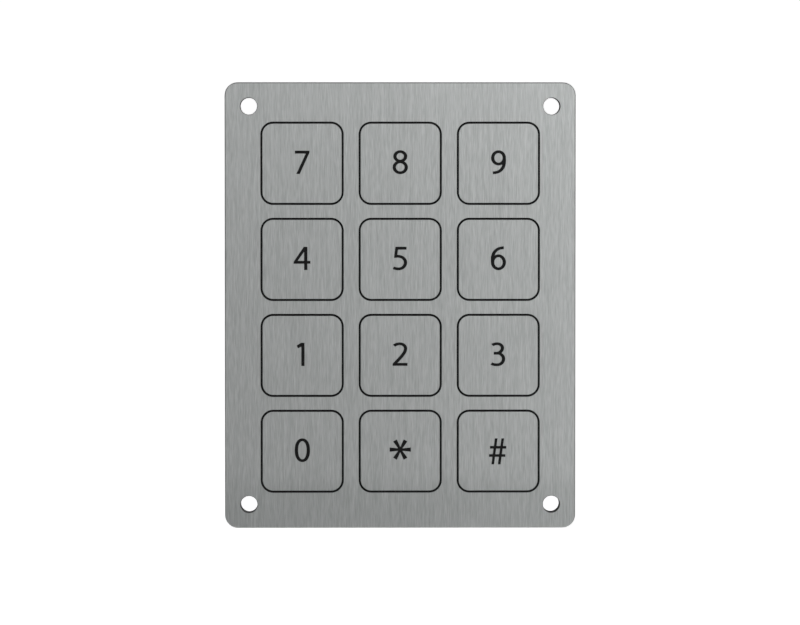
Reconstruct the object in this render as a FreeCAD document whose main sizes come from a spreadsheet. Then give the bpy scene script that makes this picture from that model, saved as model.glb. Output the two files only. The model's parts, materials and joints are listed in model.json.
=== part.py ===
import FreeCAD, Part
import Sketcher
import math
import os
import re

# Keypad access reader: a flush stainless keypad for a wall or panel.
#
# Frame: X to the right, Y into the wall, Z up, in millimetres. The origin is the centre of the
# front plate's rear face, so the plate lies at negative Y and the inner works at positive Y.
# Every size that stands by itself is one cell of the sheet "Sizes"; what fits to it is a formula.

KEY_ROWS = [
    ("7", "8", "9"),
    ("4", "5", "6"),
    ("1", "2", "3"),
    ("0", "star", "hash"),
]
COLUMNS = len(KEY_ROWS[0])
ROWS = len(KEY_ROWS)

# alias, value, meaning
SIZES = [
    ("plate_width", 84.0, "front plate along X"),
    ("plate_height", 106.8, "front plate along Z"),
    ("plate_thickness", 4.7, "front plate along Y"),
    ("plate_corner", 3.1, "radius of the plate's four corners"),
    ("plate_bevel", 0.2, "edge break round the front face"),
    ("side_margin", 8.53, "plate's left and right edges to the key openings"),
    ("top_margin", 9.38, "plate's top edge to the key openings"),
    ("foot_margin", 8.48, "plate's bottom edge to the key openings"),
    ("bridge_x", 3.56, "plate left between two columns of openings"),
    ("bridge_z", 3.06, "plate left between two rows of openings"),
    ("screw_edge_x", 5.75, "panel screw holes' centres to the plate's sides"),
    ("screw_edge_z", 5.7, "panel screw holes' centres to the plate's top and bottom"),
    ("screw_hole", 4.0, "diameter of the panel screw holes"),
    ("hole_bevel", 0.12, "edge break of the panel screw holes"),
    ("key_corner", 2.52, "radius of a key's corners"),
    ("key_gap", 0.52, "gap round a key, filled by its seal"),
    ("key_travel", 0.6, "how far a key goes in"),
    ("flange_reach", 0.43, "how far a key's flange reaches behind the plate"),
    ("flange_thickness", 1.2, "thickness of a key's flange"),
    ("rest_gap", 0.02, "air between pieces that meet at rest"),
    ("stop_gap", 0.08, "flange to mat with the key fully in"),
    ("seal_foot", 0.3, "thickness of a seal's foot behind the plate"),
    ("seal_sink", 0.08, "seal below the plate's front face"),
    ("seal_slip", 0.04, "running clearance between key and seal"),
    ("guide_slip", 0.15, "clearance between a flange and the guide grid"),
    ("recess_margin", 0.25, "recess wall to the outer flanges"),
    ("legend_height", 5.43, "height of a flat topped digit"),
    ("legend_lift", 0.24, "legend's centre above the key's centre"),
    ("legend_depth", 0.3, "depth of the filled legend"),
    ("mat_base", 1.0, "thickness of the key mat's base"),
    ("mat_skin", 0.35, "thickness of a dome's flexing skin"),
    ("pad_diameter", 8.0, "diameter of a dome's pad"),
    ("dome_diameter", 12.0, "diameter of a dome at the mat's base"),
    ("pill_diameter", 5.0, "diameter of a carbon contact pill"),
    ("pill_thickness", 0.4, "thickness of a carbon contact pill"),
    ("contact_thickness", 0.05, "thickness of a gold contact pad"),
    ("board_thickness", 1.6, "thickness of the circuit board"),
    ("board_inset", 0.3, "clearance between the board and the rear cover"),
    ("stud_diameter", 2.5, "diameter of the weld studs and the cover screws"),
    ("stud_slip", 0.1, "radial clearance of a stud in its holes"),
    ("washer_diameter", 6.0, "diameter of a stud's washer"),
    ("washer_thickness", 0.5, "thickness of a stud's washer"),
    ("hex_size", 5.0, "nut and standoff across flats"),
    ("nut_height", 2.0, "height of a nut"),
    ("cover_margin_x", 1.9, "rear cover beyond the recess on each side"),
    ("cover_margin_z", 1.7, "rear cover beyond the recess at top and bottom"),
    ("cover_wall", 1.4, "side wall of the rear cover"),
    ("cover_back", 2.0, "rear wall of the rear cover"),
    ("cover_air", 2.4, "air between the terminal block and the rear cover"),
    ("cover_round", 0.8, "rounding of the rear cover's rear edges"),
    ("cover_corner", 2.0, "radius of the rear cover's corners"),
    ("gasket_thickness", 0.5, "cover gasket under the rear cover's rim"),
    ("scallop_radius", 3.4, "room for a panel screw at the cover's corners"),
    ("panel_gasket_thickness", 1.0, "foam gasket behind the plate"),
    ("panel_gasket_inset", 1.0, "foam gasket inside the plate's edge"),
    ("panel_gasket_gap", 0.3, "foam gasket to the rear cover"),
    ("inlet_bore", 5.0, "bore of the cable grommet"),
    ("inlet_groove", 9.0, "cover hole that the grommet sits in"),
    ("inlet_flange", 12.4, "diameter of the grommet's flanges"),
    ("inlet_lip", 1.5, "thickness of a grommet flange"),
    ("terminal_height", 9.0, "terminal block above the board"),
]

# Sizes that follow from the sheet, each written as a formula of its names.
FORMULAS = {
    "opening_width": f"(plate_width - 2 * side_margin - {COLUMNS - 1} * bridge_x) / {COLUMNS}",
    "opening_height": f"(plate_height - top_margin - foot_margin - {ROWS - 1} * bridge_z) / {ROWS}",
    "opening_corner": "key_corner + key_gap",
    "key_pitch_x": "opening_width + bridge_x",
    "key_pitch_z": "opening_height + bridge_z",
    "key_width": "opening_width - 2 * key_gap",
    "key_height": "opening_height - 2 * key_gap",
    "field_drop": "(top_margin - foot_margin) / 2",
    "screw_pitch_x": "plate_width - 2 * screw_edge_x",
    "screw_pitch_z": "plate_height - 2 * screw_edge_z",
    "flange_width": "opening_width + 2 * flange_reach",
    "flange_height": "opening_height + 2 * flange_reach",
    "flange_corner": "opening_corner + flange_reach",
    "recess_depth": "seal_foot + rest_gap + flange_thickness + key_travel + stop_gap",
    "recess_corner": "flange_corner + recess_margin",
    "recess_width": f"{COLUMNS - 1} * key_pitch_x + flange_width + 2 * recess_margin",
    "recess_height": f"{ROWS - 1} * key_pitch_z + flange_height + 2 * recess_margin",
    "crossing_x": "bridge_x / 2 - flange_reach + flange_corner",
    "crossing_z": "bridge_z / 2 - flange_reach + flange_corner",
    "eye_radius": "sqrt(crossing_x ^ 2 + crossing_z ^ 2) - flange_corner - 2 * guide_slip",
    "flange_front": "seal_foot + rest_gap - recess_depth",
    "flange_rear": "flange_front + flange_thickness",
    "pill_rear": "mat_base - contact_thickness - key_travel - rest_gap",
    "pill_front": "pill_rear - pill_thickness",
    "board_rear": "mat_base + board_thickness",
    "washer_rear": "board_rear + washer_thickness",
    "cover_inside": "board_rear + terminal_height + cover_air",
    "cover_depth": "cover_inside + cover_back",
    "cover_width": "recess_width + 2 * cover_margin_x",
    "cover_height": "recess_height + 2 * cover_margin_z",
    "standoff_length": "cover_inside - washer_rear",
    "stud_hole": "stud_diameter / 2 + stud_slip",
    "board_width": "cover_width - 2 * cover_wall - 2 * board_inset",
    "board_height": "cover_height - 2 * cover_wall - 2 * board_inset",
    "board_scallop": "scallop_radius + cover_wall + board_inset",
}

WORD = re.compile(r"[a-z]+(?:_[a-z]+)+")
DOC = FreeCAD.newDocument("KeypadAccessReader")


# ---------------------------------------------------------------- sheet and formulas

def make_sheet():
    """Put every driving size in the sheet, one aliased cell a size."""
    sheet = DOC.addObject("Spreadsheet::Sheet", "Sizes")
    for row, (alias, size, meaning) in enumerate(SIZES, start=1):
        sheet.set(f"A{row}", alias)
        sheet.set(f"B{row}", str(size))
        sheet.setAlias(f"B{row}", alias)
        sheet.set(f"C{row}", meaning)
    DOC.recompute()
    return sheet


def expand(formula):
    """Turn a formula of size names into an expression on the sheet's cells."""
    def swap(match):
        word = match.group(0)
        if word in FORMULAS:
            return "(" + expand(FORMULAS[word]) + ")"
        return "Sizes." + word
    return WORD.sub(swap, formula)


def size_of(formula):
    """The present value of a formula, in millimetres."""
    return float(SHEET.evalExpression(expand(formula)))


def bind(item, prop, formula):
    """Bind a property of an object to a formula of size names."""
    item.setExpression(prop, expand(formula))


def key_places():
    """Name, X formula and Z formula of every key's centre, row by row from the top."""
    places = []
    for row, names in enumerate(KEY_ROWS):
        for column, name in enumerate(names):
            across = column - (COLUMNS - 1) / 2
            up = (ROWS - 1) / 2 - row
            places.append((name, f"{across} * key_pitch_x", f"{up} * key_pitch_z - field_drop"))
    return places


def stud_places():
    """X and Z formulas of the six weld studs, each where four keys meet."""
    places = []
    for across in (-0.5, 0.5):
        for up in (1, 0, -1):
            places.append((f"{across} * key_pitch_x", f"{up} * key_pitch_z - field_drop"))
    return places


def screw_places():
    """X and Z formulas of the four panel screws."""
    places = []
    for across in (-0.5, 0.5):
        for up in (-0.5, 0.5):
            places.append((f"{across} * screw_pitch_x", f"{up} * screw_pitch_z"))
    return places


# ---------------------------------------------------------------- primitives and groups

def place(item, x, y, z):
    """Bind an object's position to three formulas."""
    bind(item, "Placement.Base.x", x)
    bind(item, "Placement.Base.y", y)
    bind(item, "Placement.Base.z", z)


def disc(name, diameter, length, x, y, z):
    """A cylinder along +Y that starts at (x, y, z)."""
    item = DOC.addObject("Part::Cylinder", name)
    item.Placement = FreeCAD.Placement(FreeCAD.Vector(), FreeCAD.Rotation(FreeCAD.Vector(1, 0, 0), -90))
    bind(item, "Radius", f"({diameter}) / 2")
    bind(item, "Height", length)
    place(item, x, y, z)
    return item


def hexagon(name, length, x, y, z):
    """A hexagonal prism along +Y that starts at (x, y, z), sized across its flats."""
    item = DOC.addObject("Part::Prism", name)
    item.Placement = FreeCAD.Placement(FreeCAD.Vector(), FreeCAD.Rotation(FreeCAD.Vector(1, 0, 0), -90))
    item.Polygon = 6
    bind(item, "Circumradius", "hex_size / 2 / cos(30)")
    bind(item, "Height", length)
    place(item, x, y, z)
    return item


def block(name, width, depth, height, x, y, z):
    """A box centred on x and z that runs from y towards +Y."""
    item = DOC.addObject("Part::Box", name)
    bind(item, "Length", width)
    bind(item, "Width", depth)
    bind(item, "Height", height)
    place(item, f"{x} - ({width}) / 2", y, f"{z} - ({height}) / 2")
    return item


def cut(name, base, tool):
    """Base less tool."""
    item = DOC.addObject("Part::Cut", name)
    item.Base = base
    item.Tool = tool
    return item


def fuse(name, pieces):
    """Several shapes joined into one."""
    item = DOC.addObject("Part::MultiFuse", name)
    item.Shapes = pieces
    return item


def group(name, pieces):
    """Several separate solids kept together as one sub-part."""
    item = DOC.addObject("Part::Compound", name)
    item.Links = pieces
    return item


def tube(name, outer, inner, length, x, y, z):
    """A ring along +Y that starts at (x, y, z)."""
    solid = disc(name + "_outer", outer, length, x, y, z)
    bore = disc(name + "_bore", inner, length, x, y, z)
    return cut(name, solid, bore)


# ---------------------------------------------------------------- sketches and bodies

def new_body(name):
    """An empty body."""
    return DOC.addObject("PartDesign::Body", name)


def origin_feature(body, role):
    """One of a body's own origin planes or axes."""
    return next(item for item in body.Origin.OriginFeatures if item.Role == role)


def new_sketch(body, name, plane="XZ_Plane"):
    """An empty sketch on one of the body's own planes."""
    sketch = body.newObject("Sketcher::SketchObject", name)
    sketch.AttachmentSupport = [(origin_feature(body, plane), "")]
    sketch.MapMode = "FlatFace"
    return sketch


def face_sketch(body, name, y, x="0", z="0"):
    """A sketch across Y, its own origin at (x, y, z). Its normal points towards -Y."""
    sketch = new_sketch(body, name)
    bind(sketch, "AttachmentOffset.Base.x", x)
    bind(sketch, "AttachmentOffset.Base.y", z)
    bind(sketch, "AttachmentOffset.Base.z", f"0 - ({y})")
    return sketch


def constrain(sketch, name, constraint, formula):
    """Add a dimension and bind it to a formula."""
    index = sketch.addConstraint(constraint)
    sketch.renameConstraint(index, name)
    bind(sketch, f"Constraints.{name}", formula)


def draw_rounded_rectangle(sketch, tag, width, height, corner):
    """Draw a rectangle with round corners about the sketch's origin."""
    half_w = size_of(width) / 2
    half_h = size_of(height) / 2
    radius = size_of(corner)
    first = sketch.GeometryCount
    turn = math.pi / 2
    corners = [(1, -1), (1, 1), (-1, 1), (-1, -1)]
    for index, (side_x, side_y) in enumerate(corners):
        last_x, last_y = corners[index - 1]
        along_x = side_x != last_x
        start_x = last_x * (half_w - radius if along_x else half_w)
        start_y = last_y * (half_h if along_x else half_h - radius)
        end_x = side_x * (half_w - radius if along_x else half_w)
        end_y = side_y * (half_h if along_x else half_h - radius)
        start = FreeCAD.Vector(start_x, start_y, 0)
        end = FreeCAD.Vector(end_x, end_y, 0)
        centre = FreeCAD.Vector(side_x * (half_w - radius), side_y * (half_h - radius), 0)
        circle = Part.Circle(centre, FreeCAD.Vector(0, 0, 1), radius)
        sketch.addGeometry(Part.LineSegment(start, end), False)
        sketch.addGeometry(Part.ArcOfCircle(circle, (index - 1) * turn, index * turn), False)
    lines = [first + 2 * index for index in range(4)]
    arcs = [first + 2 * index + 1 for index in range(4)]
    for index in range(4):
        sketch.addConstraint(Sketcher.Constraint("Tangent", lines[index], 2, arcs[index], 1))
        sketch.addConstraint(Sketcher.Constraint("Tangent", arcs[index], 2, lines[(index + 1) % 4], 1))
        way = "Horizontal" if index % 2 == 0 else "Vertical"
        sketch.addConstraint(Sketcher.Constraint(way, lines[index]))
    for index in range(1, 4):
        sketch.addConstraint(Sketcher.Constraint("Equal", arcs[0], arcs[index]))
    constrain(sketch, tag + "_corner", Sketcher.Constraint("Radius", arcs[0], radius), corner)
    sides = [
        ("_right", ("DistanceX", -1, 1, lines[1], 1, half_w), width),
        ("_left", ("DistanceX", lines[3], 1, -1, 1, half_w), width),
        ("_top", ("DistanceY", -1, 1, lines[2], 1, half_h), height),
        ("_foot", ("DistanceY", lines[0], 1, -1, 1, half_h), height),
    ]
    for side, dimension, size in sides:
        constrain(sketch, tag + side, Sketcher.Constraint(*dimension), f"({size}) / 2")


def draw_circle(sketch, tag, radius, x="0", z="0"):
    """Draw a circle whose centre is (x, z) in the sketch."""
    centre = FreeCAD.Vector(size_of(x), size_of(z), 0)
    circle = Part.Circle(centre, FreeCAD.Vector(0, 0, 1), size_of(radius))
    index = sketch.addGeometry(circle, False)
    constrain(sketch, tag + "_radius", Sketcher.Constraint("Radius", index, circle.Radius), radius)
    if abs(centre.x) + abs(centre.y) < 1e-9:
        sketch.addConstraint(Sketcher.Constraint("Coincident", index, 3, -1, 1))
        return
    for way, offset, axis, formula in (("X", centre.x, -2, x), ("Y", centre.y, -1, z)):
        if abs(offset) < 1e-9:
            sketch.addConstraint(Sketcher.Constraint("PointOnObject", index, 3, axis))
        else:
            distance = Sketcher.Constraint("Distance" + way, -1, 1, index, 3, offset)
            constrain(sketch, tag + "_" + way.lower(), distance, formula)


def draw_polygon(sketch, tag, points):
    """Draw a closed polygon whose corners are (x, y) formulas; every corner is dimensioned."""
    spots = [FreeCAD.Vector(size_of(x), size_of(y), 0) for x, y in points]
    first = sketch.GeometryCount
    for index, spot in enumerate(spots):
        sketch.addGeometry(Part.LineSegment(spot, spots[(index + 1) % len(spots)]), False)
    for index, (x, y) in enumerate(points):
        line = first + index
        last = first + (index - 1) % len(spots)
        sketch.addConstraint(Sketcher.Constraint("Coincident", last, 2, line, 1))
        for way, offset, axis, formula in (("X", spots[index].x, -2, x), ("Y", spots[index].y, -1, y)):
            if abs(offset) < 1e-9:
                sketch.addConstraint(Sketcher.Constraint("PointOnObject", line, 1, axis))
            else:
                distance = Sketcher.Constraint("Distance" + way, -1, 1, line, 1, offset)
                constrain(sketch, f"{tag}_{way.lower()}{index}", distance, formula)


def pad(body, name, sketch, length, rearward=True):
    """Extend a sketch into a solid, towards +Y when rearward."""
    feature = body.newObject("PartDesign::Pad", name)
    feature.Profile = sketch
    bind(feature, "Length", length)
    feature.Reversed = rearward
    return feature


def pocket(body, name, sketch, length=None, rearward=True):
    """Cut a sketch into the body, towards +Y when rearward, right through with no length."""
    feature = body.newObject("PartDesign::Pocket", name)
    feature.Profile = sketch
    if length is None:
        feature.Type = "ThroughAll"
    else:
        bind(feature, "Length", length)
    feature.Reversed = not rearward
    return feature


def repeat(body, name, features, ways):
    """Repeat features along (axis role, span formula, count) ways, one after the other."""
    DOC.recompute()
    pattern = body.newObject("PartDesign::MultiTransform", name)
    pattern.Originals = features
    steps = []
    for index, (role, span, count) in enumerate(ways):
        step = body.newObject("PartDesign::LinearPattern", f"{name}_way{index}")
        step.Direction = (origin_feature(body, role), [""])
        step.Occurrences = count
        bind(step, "Length", span)
        steps.append(step)
    pattern.Transformations = steps
    body.Tip = pattern
    DOC.recompute()
    return pattern


def repeat_at_keys(body, name, features):
    """Repeat features made at the lower left key at all the keys."""
    across = ("X_Axis", f"{COLUMNS - 1} * key_pitch_x", COLUMNS)
    up = ("Z_Axis", f"{ROWS - 1} * key_pitch_z", ROWS)
    return repeat(body, name, features, [across, up])


def first_key():
    """X and Z formulas of the lower left key's centre, where patterns start."""
    return f"0 - {(COLUMNS - 1) / 2} * key_pitch_x", f"0 - {(ROWS - 1) / 2} * key_pitch_z - field_drop"


def edges_at(shape, wanted):
    """Names of the edges whose centre of mass passes a test."""
    return [f"Edge{index}" for index, edge in enumerate(shape.Edges, start=1) if wanted(edge)]


def lies_at(edge, y):
    """True for an edge that lies wholly at depth y."""
    box = edge.BoundBox
    return abs(box.YMin - y) < 1e-4 and abs(box.YMax - y) < 1e-4


def scalloped_slab(name, width, height, corner, reach, y, length):
    """A slab behind the plate, centred on the key field, with a scallop round each panel screw."""
    body = new_body(name)
    outline = face_sketch(body, name + "_outline", y, "0", "0 - field_drop")
    draw_rounded_rectangle(outline, "slab", width, height, corner)
    pad(body, name + "_slab", outline, length)
    notches = face_sketch(body, name + "_notches", y)
    for index, (x, z) in enumerate(screw_places()):
        draw_circle(notches, f"notch{index}", reach, x, z)
    DOC.recompute()
    pocket(body, name + "_scallops", notches)
    return body


def finish(item, label):
    """Give a sub-part the label that names its file."""
    item.Label = label
    PARTS.append(item)


# ---------------------------------------------------------------- front plate

def make_front_plate():
    """The stainless plate: key openings, rear recess, screw holes and broken edges."""
    body = new_body("Plate")
    outline = face_sketch(body, "plate_outline", "0 - plate_thickness")
    draw_rounded_rectangle(outline, "plate", "plate_width", "plate_height", "plate_corner")
    pad(body, "plate_slab", outline, "plate_thickness")

    recess = face_sketch(body, "recess_outline", "0", "0", "0 - field_drop")
    draw_rounded_rectangle(recess, "recess", "recess_width", "recess_height", "recess_corner")
    DOC.recompute()
    pocket(body, "plate_recess", recess, "recess_depth", rearward=False)

    screws = face_sketch(body, "screw_circles", "0 - plate_thickness")
    for index, (x, z) in enumerate(screw_places()):
        draw_circle(screws, f"screw{index}", "screw_hole / 2", x, z)
    DOC.recompute()
    pocket(body, "screw_holes", screws)

    key_x, key_z = first_key()
    opening = face_sketch(body, "opening_outline", "0 - plate_thickness", key_x, key_z)
    draw_rounded_rectangle(opening, "opening", "opening_width", "opening_height", "opening_corner")
    DOC.recompute()
    first = pocket(body, "first_opening", opening)
    repeat_at_keys(body, "key_openings", [first])
    break_front_edges(body)
    finish(body, "front_plate")


def break_front_edges(body):
    """Bevel the plate's front rim and the front edges of its screw holes."""
    front = -size_of("plate_thickness")
    reach = size_of("plate_width") / 2 - size_of("plate_corner") - 1e-3
    rise = size_of("plate_height") / 2 - size_of("plate_corner") - 1e-3

    def on_rim(edge):
        centre = edge.CenterOfMass
        return lies_at(edge, front) and (abs(centre.x) > reach or abs(centre.z) > rise)

    def on_hole(edge):
        is_round = isinstance(edge.Curve, Part.Circle)
        return lies_at(edge, front) and is_round and abs(edge.Curve.Radius - size_of("screw_hole") / 2) < 1e-4

    for name, wanted, bevel in (("rim_bevel", on_rim, "plate_bevel"), ("hole_bevels", on_hole, "hole_bevel")):
        base = body.Tip
        feature = body.newObject("PartDesign::Chamfer", name)
        feature.Base = (base, edges_at(base.Shape, wanted))
        bind(feature, "Size", bevel)
        DOC.recompute()


# ---------------------------------------------------------------- legends

# Legend outlines in millimetres about the key's centre, at a flat digit height of GLYPH_HEIGHT.
GLYPH_HEIGHT = 5.43
GLYPH_MIDDLE = 0.265
STEM = 0.81
BAR = 0.68
SPREAD = 0.07
STATIONS_A_POINT = 3
RING_STATIONS = 32

# Straight sided pieces of the legends.
POLYGONS = {
    "7": [
        [(-1.65, 2.98), (1.72, 2.98), (1.72, 2.60), (-0.57, -2.46), (-1.28, -2.46), (1.00, 2.41),
         (-1.65, 2.41)],
    ],
    "4": [
        [(0.44, 2.98), (1.20, 2.98), (1.20, -2.45), (0.54, -2.45), (0.54, 2.06), (-1.58, -0.94),
         (-1.95, -0.94), (-1.95, -0.55)],
        [(-1.95, -0.94), (1.93, -0.94), (1.93, -0.39), (-1.58, -0.39)],
    ],
    "1": [
        [(-0.23, 2.98), (0.50, 2.98), (0.50, -2.45), (-0.14, -2.45), (-0.14, 2.20), (-0.99, 1.81),
         (-1.24, 2.36)],
    ],
    "2": [
        [(-1.78, -2.42), (1.67, -2.42), (1.67, -1.86), (-1.20, -1.86), (-1.59, -1.79), (-1.78, -1.99)],
    ],
    "3": [[(-1.02, 0.24), (0.10, 0.24), (0.10, 0.78), (-1.02, 0.78)]],
    "5": [
        [(-1.10, 2.98), (1.43, 2.98), (1.43, 2.42), (-0.61, 2.42), (-0.76, 1.00), (-1.00, 0.46),
         (-1.44, 0.46)],
    ],
}

# Round strokes, each the middle line that the pen follows.
STROKES = {
    "2": [
        [(-1.51, 2.34), (-0.85, 2.68), (-0.05, 2.79), (0.75, 2.56), (1.21, 1.98), (1.21, 1.25),
         (0.80, 0.42), (0.12, -0.44), (-0.60, -1.22), (-1.36, -1.98)],
    ],
    "3": [
        [(-1.45, 2.48), (-0.90, 2.71), (-0.20, 2.79), (0.55, 2.56), (0.98, 1.95), (0.85, 1.25),
         (0.45, 0.80), (-0.20, 0.54)],
        [(-0.20, 0.51), (0.50, 0.36), (1.08, -0.20), (1.26, -0.88), (1.00, -1.62), (0.40, -2.12),
         (-0.35, -2.25), (-1.10, -2.17), (-1.69, -1.97)],
    ],
    "5": [
        [(-1.20, 0.74), (-0.50, 0.78), (0.25, 0.62), (0.92, 0.14), (1.25, -0.60), (1.10, -1.36),
         (0.60, -1.95), (-0.15, -2.23), (-0.95, -2.20), (-1.68, -2.01)],
    ],
    "6": [
        [(-1.40, -0.55), (-1.39, 0.40), (-1.24, 1.15), (-0.95, 1.72), (-0.50, 2.22), (0.05, 2.56),
         (0.65, 2.74), (1.31, 2.81)],
    ],
    "9": [
        [(1.43, 1.05), (1.38, 0.05), (1.12, -0.90), (0.62, -1.58), (-0.05, -2.02), (-0.70, -2.20),
         (-1.33, -2.26)],
    ],
}

# Closed rings: middle X, middle Z, half width, half height and fullness of the pen's path.
# A fullness of 2 is an ellipse, and more than 2 has squarer shoulders.
RINGS = {
    "8": [(0.0, 1.68, 1.27, 1.13, 2.0), (0.0, -0.93, 1.43, 1.31, 2.0)],
    "9": [(0.02, 1.32, 1.39, 1.48, 2.0)],
    "6": [(0.02, -0.68, 1.40, 1.56, 2.0)],
    "0": [(0.03, 0.27, 1.43, 2.51, 2.2)],
}

STAR_MIDDLE = 0.40
STAR_REACH = 2.47
STAR_ROOT = 0.36
STAR_END = 0.88
HASH_SLANT = 0.136
HASH_UPRIGHTS = (-0.89, 0.67)
HASH_BARS = ((0.93, -0.02), (-1.05, -0.24))
HASH_TOP = 3.02
HASH_BOTTOM = -3.10
HASH_BAR_HALF = 1.89
HASH_PEN = 0.51


def star_polygons():
    """Six arms that widen outwards."""
    arms = []
    for index in range(6):
        angle = math.radians(60 * index)
        along = (math.cos(angle), math.sin(angle))
        side = (-along[1], along[0])
        corners = [(0.0, -STAR_ROOT), (STAR_REACH, -STAR_END), (STAR_REACH, STAR_END), (0.0, STAR_ROOT)]
        arm = []
        for far, wide in corners:
            x = far * along[0] + wide / 2 * side[0]
            z = far * along[1] + wide / 2 * side[1]
            arm.append((x, z + STAR_MIDDLE))
        arms.append(arm)
    return arms


def hash_polygons():
    """Two leaning uprights and two level bars."""
    half = HASH_PEN / 2
    pieces = []
    for middle in HASH_UPRIGHTS:
        top = middle + HASH_SLANT * HASH_TOP
        foot = middle + HASH_SLANT * HASH_BOTTOM
        lower = [(foot - half, HASH_BOTTOM), (foot + half, HASH_BOTTOM)]
        upper = [(top + half, HASH_TOP), (top - half, HASH_TOP)]
        pieces.append(lower + upper)
    for height, middle in HASH_BARS:
        left = middle - HASH_BAR_HALF
        right = middle + HASH_BAR_HALF
        lower = [(left, height - half), (right, height - half)]
        upper = [(right, height + half), (left, height + half)]
        pieces.append(lower + upper)
    return pieces


def pen_offset(across):
    """From the middle line to the edge of an oval pen, STEM wide and BAR high."""
    reach = math.hypot(STEM / 2 * across.x, BAR / 2 * across.z)
    return FreeCAD.Vector((STEM / 2) ** 2 * across.x / reach, 0, (BAR / 2) ** 2 * across.z / reach)


def stroke_face(points):
    """The face of an open stroke."""
    curve = Part.BSplineCurve()
    curve.interpolate([FreeCAD.Vector(x, 0, z) for x, z in points])
    count = STATIONS_A_POINT * len(points)
    left = []
    right = []
    for step in range(count + 1):
        station = curve.FirstParameter + (curve.LastParameter - curve.FirstParameter) * step / count
        along = curve.tangent(station)[0]
        offset = pen_offset(FreeCAD.Vector(-along.z, 0, along.x))
        left.append(curve.value(station) + offset)
        right.append(curve.value(station) - offset)
    sides = []
    for edge_points in (left, right):
        side = Part.BSplineCurve()
        side.interpolate(edge_points)
        sides.append(side.toShape())
    ends = [Part.makeLine(left[-1], right[-1]), Part.makeLine(right[0], left[0])]
    return Part.Face(Part.Wire(Part.__sortEdges__(sides + ends)))


def ring_face(middle_x, middle_z, half_width, half_height, fullness):
    """The face of a closed oval stroke."""
    outer = []
    inner = []
    for step in range(RING_STATIONS):
        angle = 2 * math.pi * step / RING_STATIONS
        x = math.copysign(abs(math.cos(angle)) ** (2 / fullness), math.cos(angle))
        z = math.copysign(abs(math.sin(angle)) ** (2 / fullness), math.sin(angle))
        slope_x = math.copysign(abs(x) ** (fullness - 1), x) / half_width
        slope_z = math.copysign(abs(z) ** (fullness - 1), z) / half_height
        offset = pen_offset(FreeCAD.Vector(slope_x, 0, slope_z).normalize())
        spot = FreeCAD.Vector(middle_x + half_width * x, 0, middle_z + half_height * z)
        outer.append(spot + offset)
        inner.append(spot - offset)
    faces = []
    for points in (outer, inner):
        curve = Part.BSplineCurve()
        curve.interpolate(points, PeriodicFlag=True)
        faces.append(Part.Face(Part.Wire(curve.toShape())))
    return faces[0].cut(faces[1])


def polygon_face(points):
    """The face of a polygon, grown by SPREAD with its corners kept sharp."""
    corners = [FreeCAD.Vector(x, 0, z) for x, z in points]
    outline = Part.Face(Part.makePolygon(corners + corners[:1]))
    sharp = 2
    return outline.makeOffset2D(SPREAD, sharp)


def legend_shape(name):
    """One legend about the key's centre, from the front face inwards."""
    straight = POLYGONS.get(name, [])
    if name == "star":
        straight = star_polygons()
    elif name == "hash":
        straight = hash_polygons()
    faces = [polygon_face(points) for points in straight]
    faces += [stroke_face(points) for points in STROKES.get(name, [])]
    faces += [ring_face(*ring) for ring in RINGS.get(name, [])]
    scale = size_of("legend_height") / GLYPH_HEIGHT
    flat = faces[0] if len(faces) == 1 else faces[0].multiFuse(faces[1:])
    middle = FreeCAD.Vector(0, 0, GLYPH_MIDDLE)
    flat.translate(middle * -1)
    flat.scale(scale)
    flat.translate(FreeCAD.Vector(0, 0, size_of("legend_lift")))
    solid = flat.extrude(FreeCAD.Vector(0, size_of("legend_depth"), 0))
    pieces = solid.Solids
    whole = pieces[0] if len(pieces) == 1 else pieces[0].multiFuse(pieces[1:])
    return whole.removeSplitter()


# ---------------------------------------------------------------- keys, seals and pills

def make_key(name, x, z):
    """A stainless key with its flange, its filled legend and its carbon pill."""
    blank = new_body("Blank_" + name)
    face = face_sketch(blank, "face_" + name, "0 - plate_thickness", x, z)
    draw_rounded_rectangle(face, "face", "key_width", "key_height", "key_corner")
    pad(blank, "cap_" + name, face, "plate_thickness + flange_rear")
    flange = face_sketch(blank, "flange_" + name, "flange_front", x, z)
    draw_rounded_rectangle(flange, "flange", "flange_width", "flange_height", "flange_corner")
    DOC.recompute()
    pad(blank, "lip_" + name, flange, "flange_thickness")

    legend = DOC.addObject("Part::Feature", "Legend_" + name)
    legend.Shape = legend_shape(name)
    legend.Placement = FreeCAD.Placement()
    place(legend, x, "0 - plate_thickness", z)
    finish(cut("Key_" + name, blank, legend), "key_" + name)
    finish(legend, "legend_" + name)
    pill = disc("Pill_" + name, "pill_diameter", "pill_thickness", x, "pill_front", z)
    finish(pill, "contact_pill_" + name)


def make_key_seals():
    """Twelve silicone rings: a lip in each gap and a foot between flange and plate."""
    body = new_body("Seals")
    x, z = first_key()
    lip = face_sketch(body, "lip_ring", "seal_sink - plate_thickness", x, z)
    draw_rounded_rectangle(lip, "outer", "opening_width", "opening_height", "opening_corner")
    inner = ("key_width + 2 * seal_slip", "key_height + 2 * seal_slip", "key_corner + seal_slip")
    draw_rounded_rectangle(lip, "inner", *inner)
    first_lip = pad(body, "first_lip", lip, "plate_thickness - seal_sink + flange_front - rest_gap")
    foot = face_sketch(body, "foot_ring", "0 - recess_depth", x, z)
    draw_rounded_rectangle(foot, "outer", "flange_width", "flange_height", "flange_corner")
    draw_rounded_rectangle(foot, "inner", *inner)
    DOC.recompute()
    first_foot = pad(body, "first_foot", foot, "seal_foot")
    repeat_at_keys(body, "all_seals", [first_lip, first_foot])
    finish(body, "key_seals")


# ---------------------------------------------------------------- guide, mat and board

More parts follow.
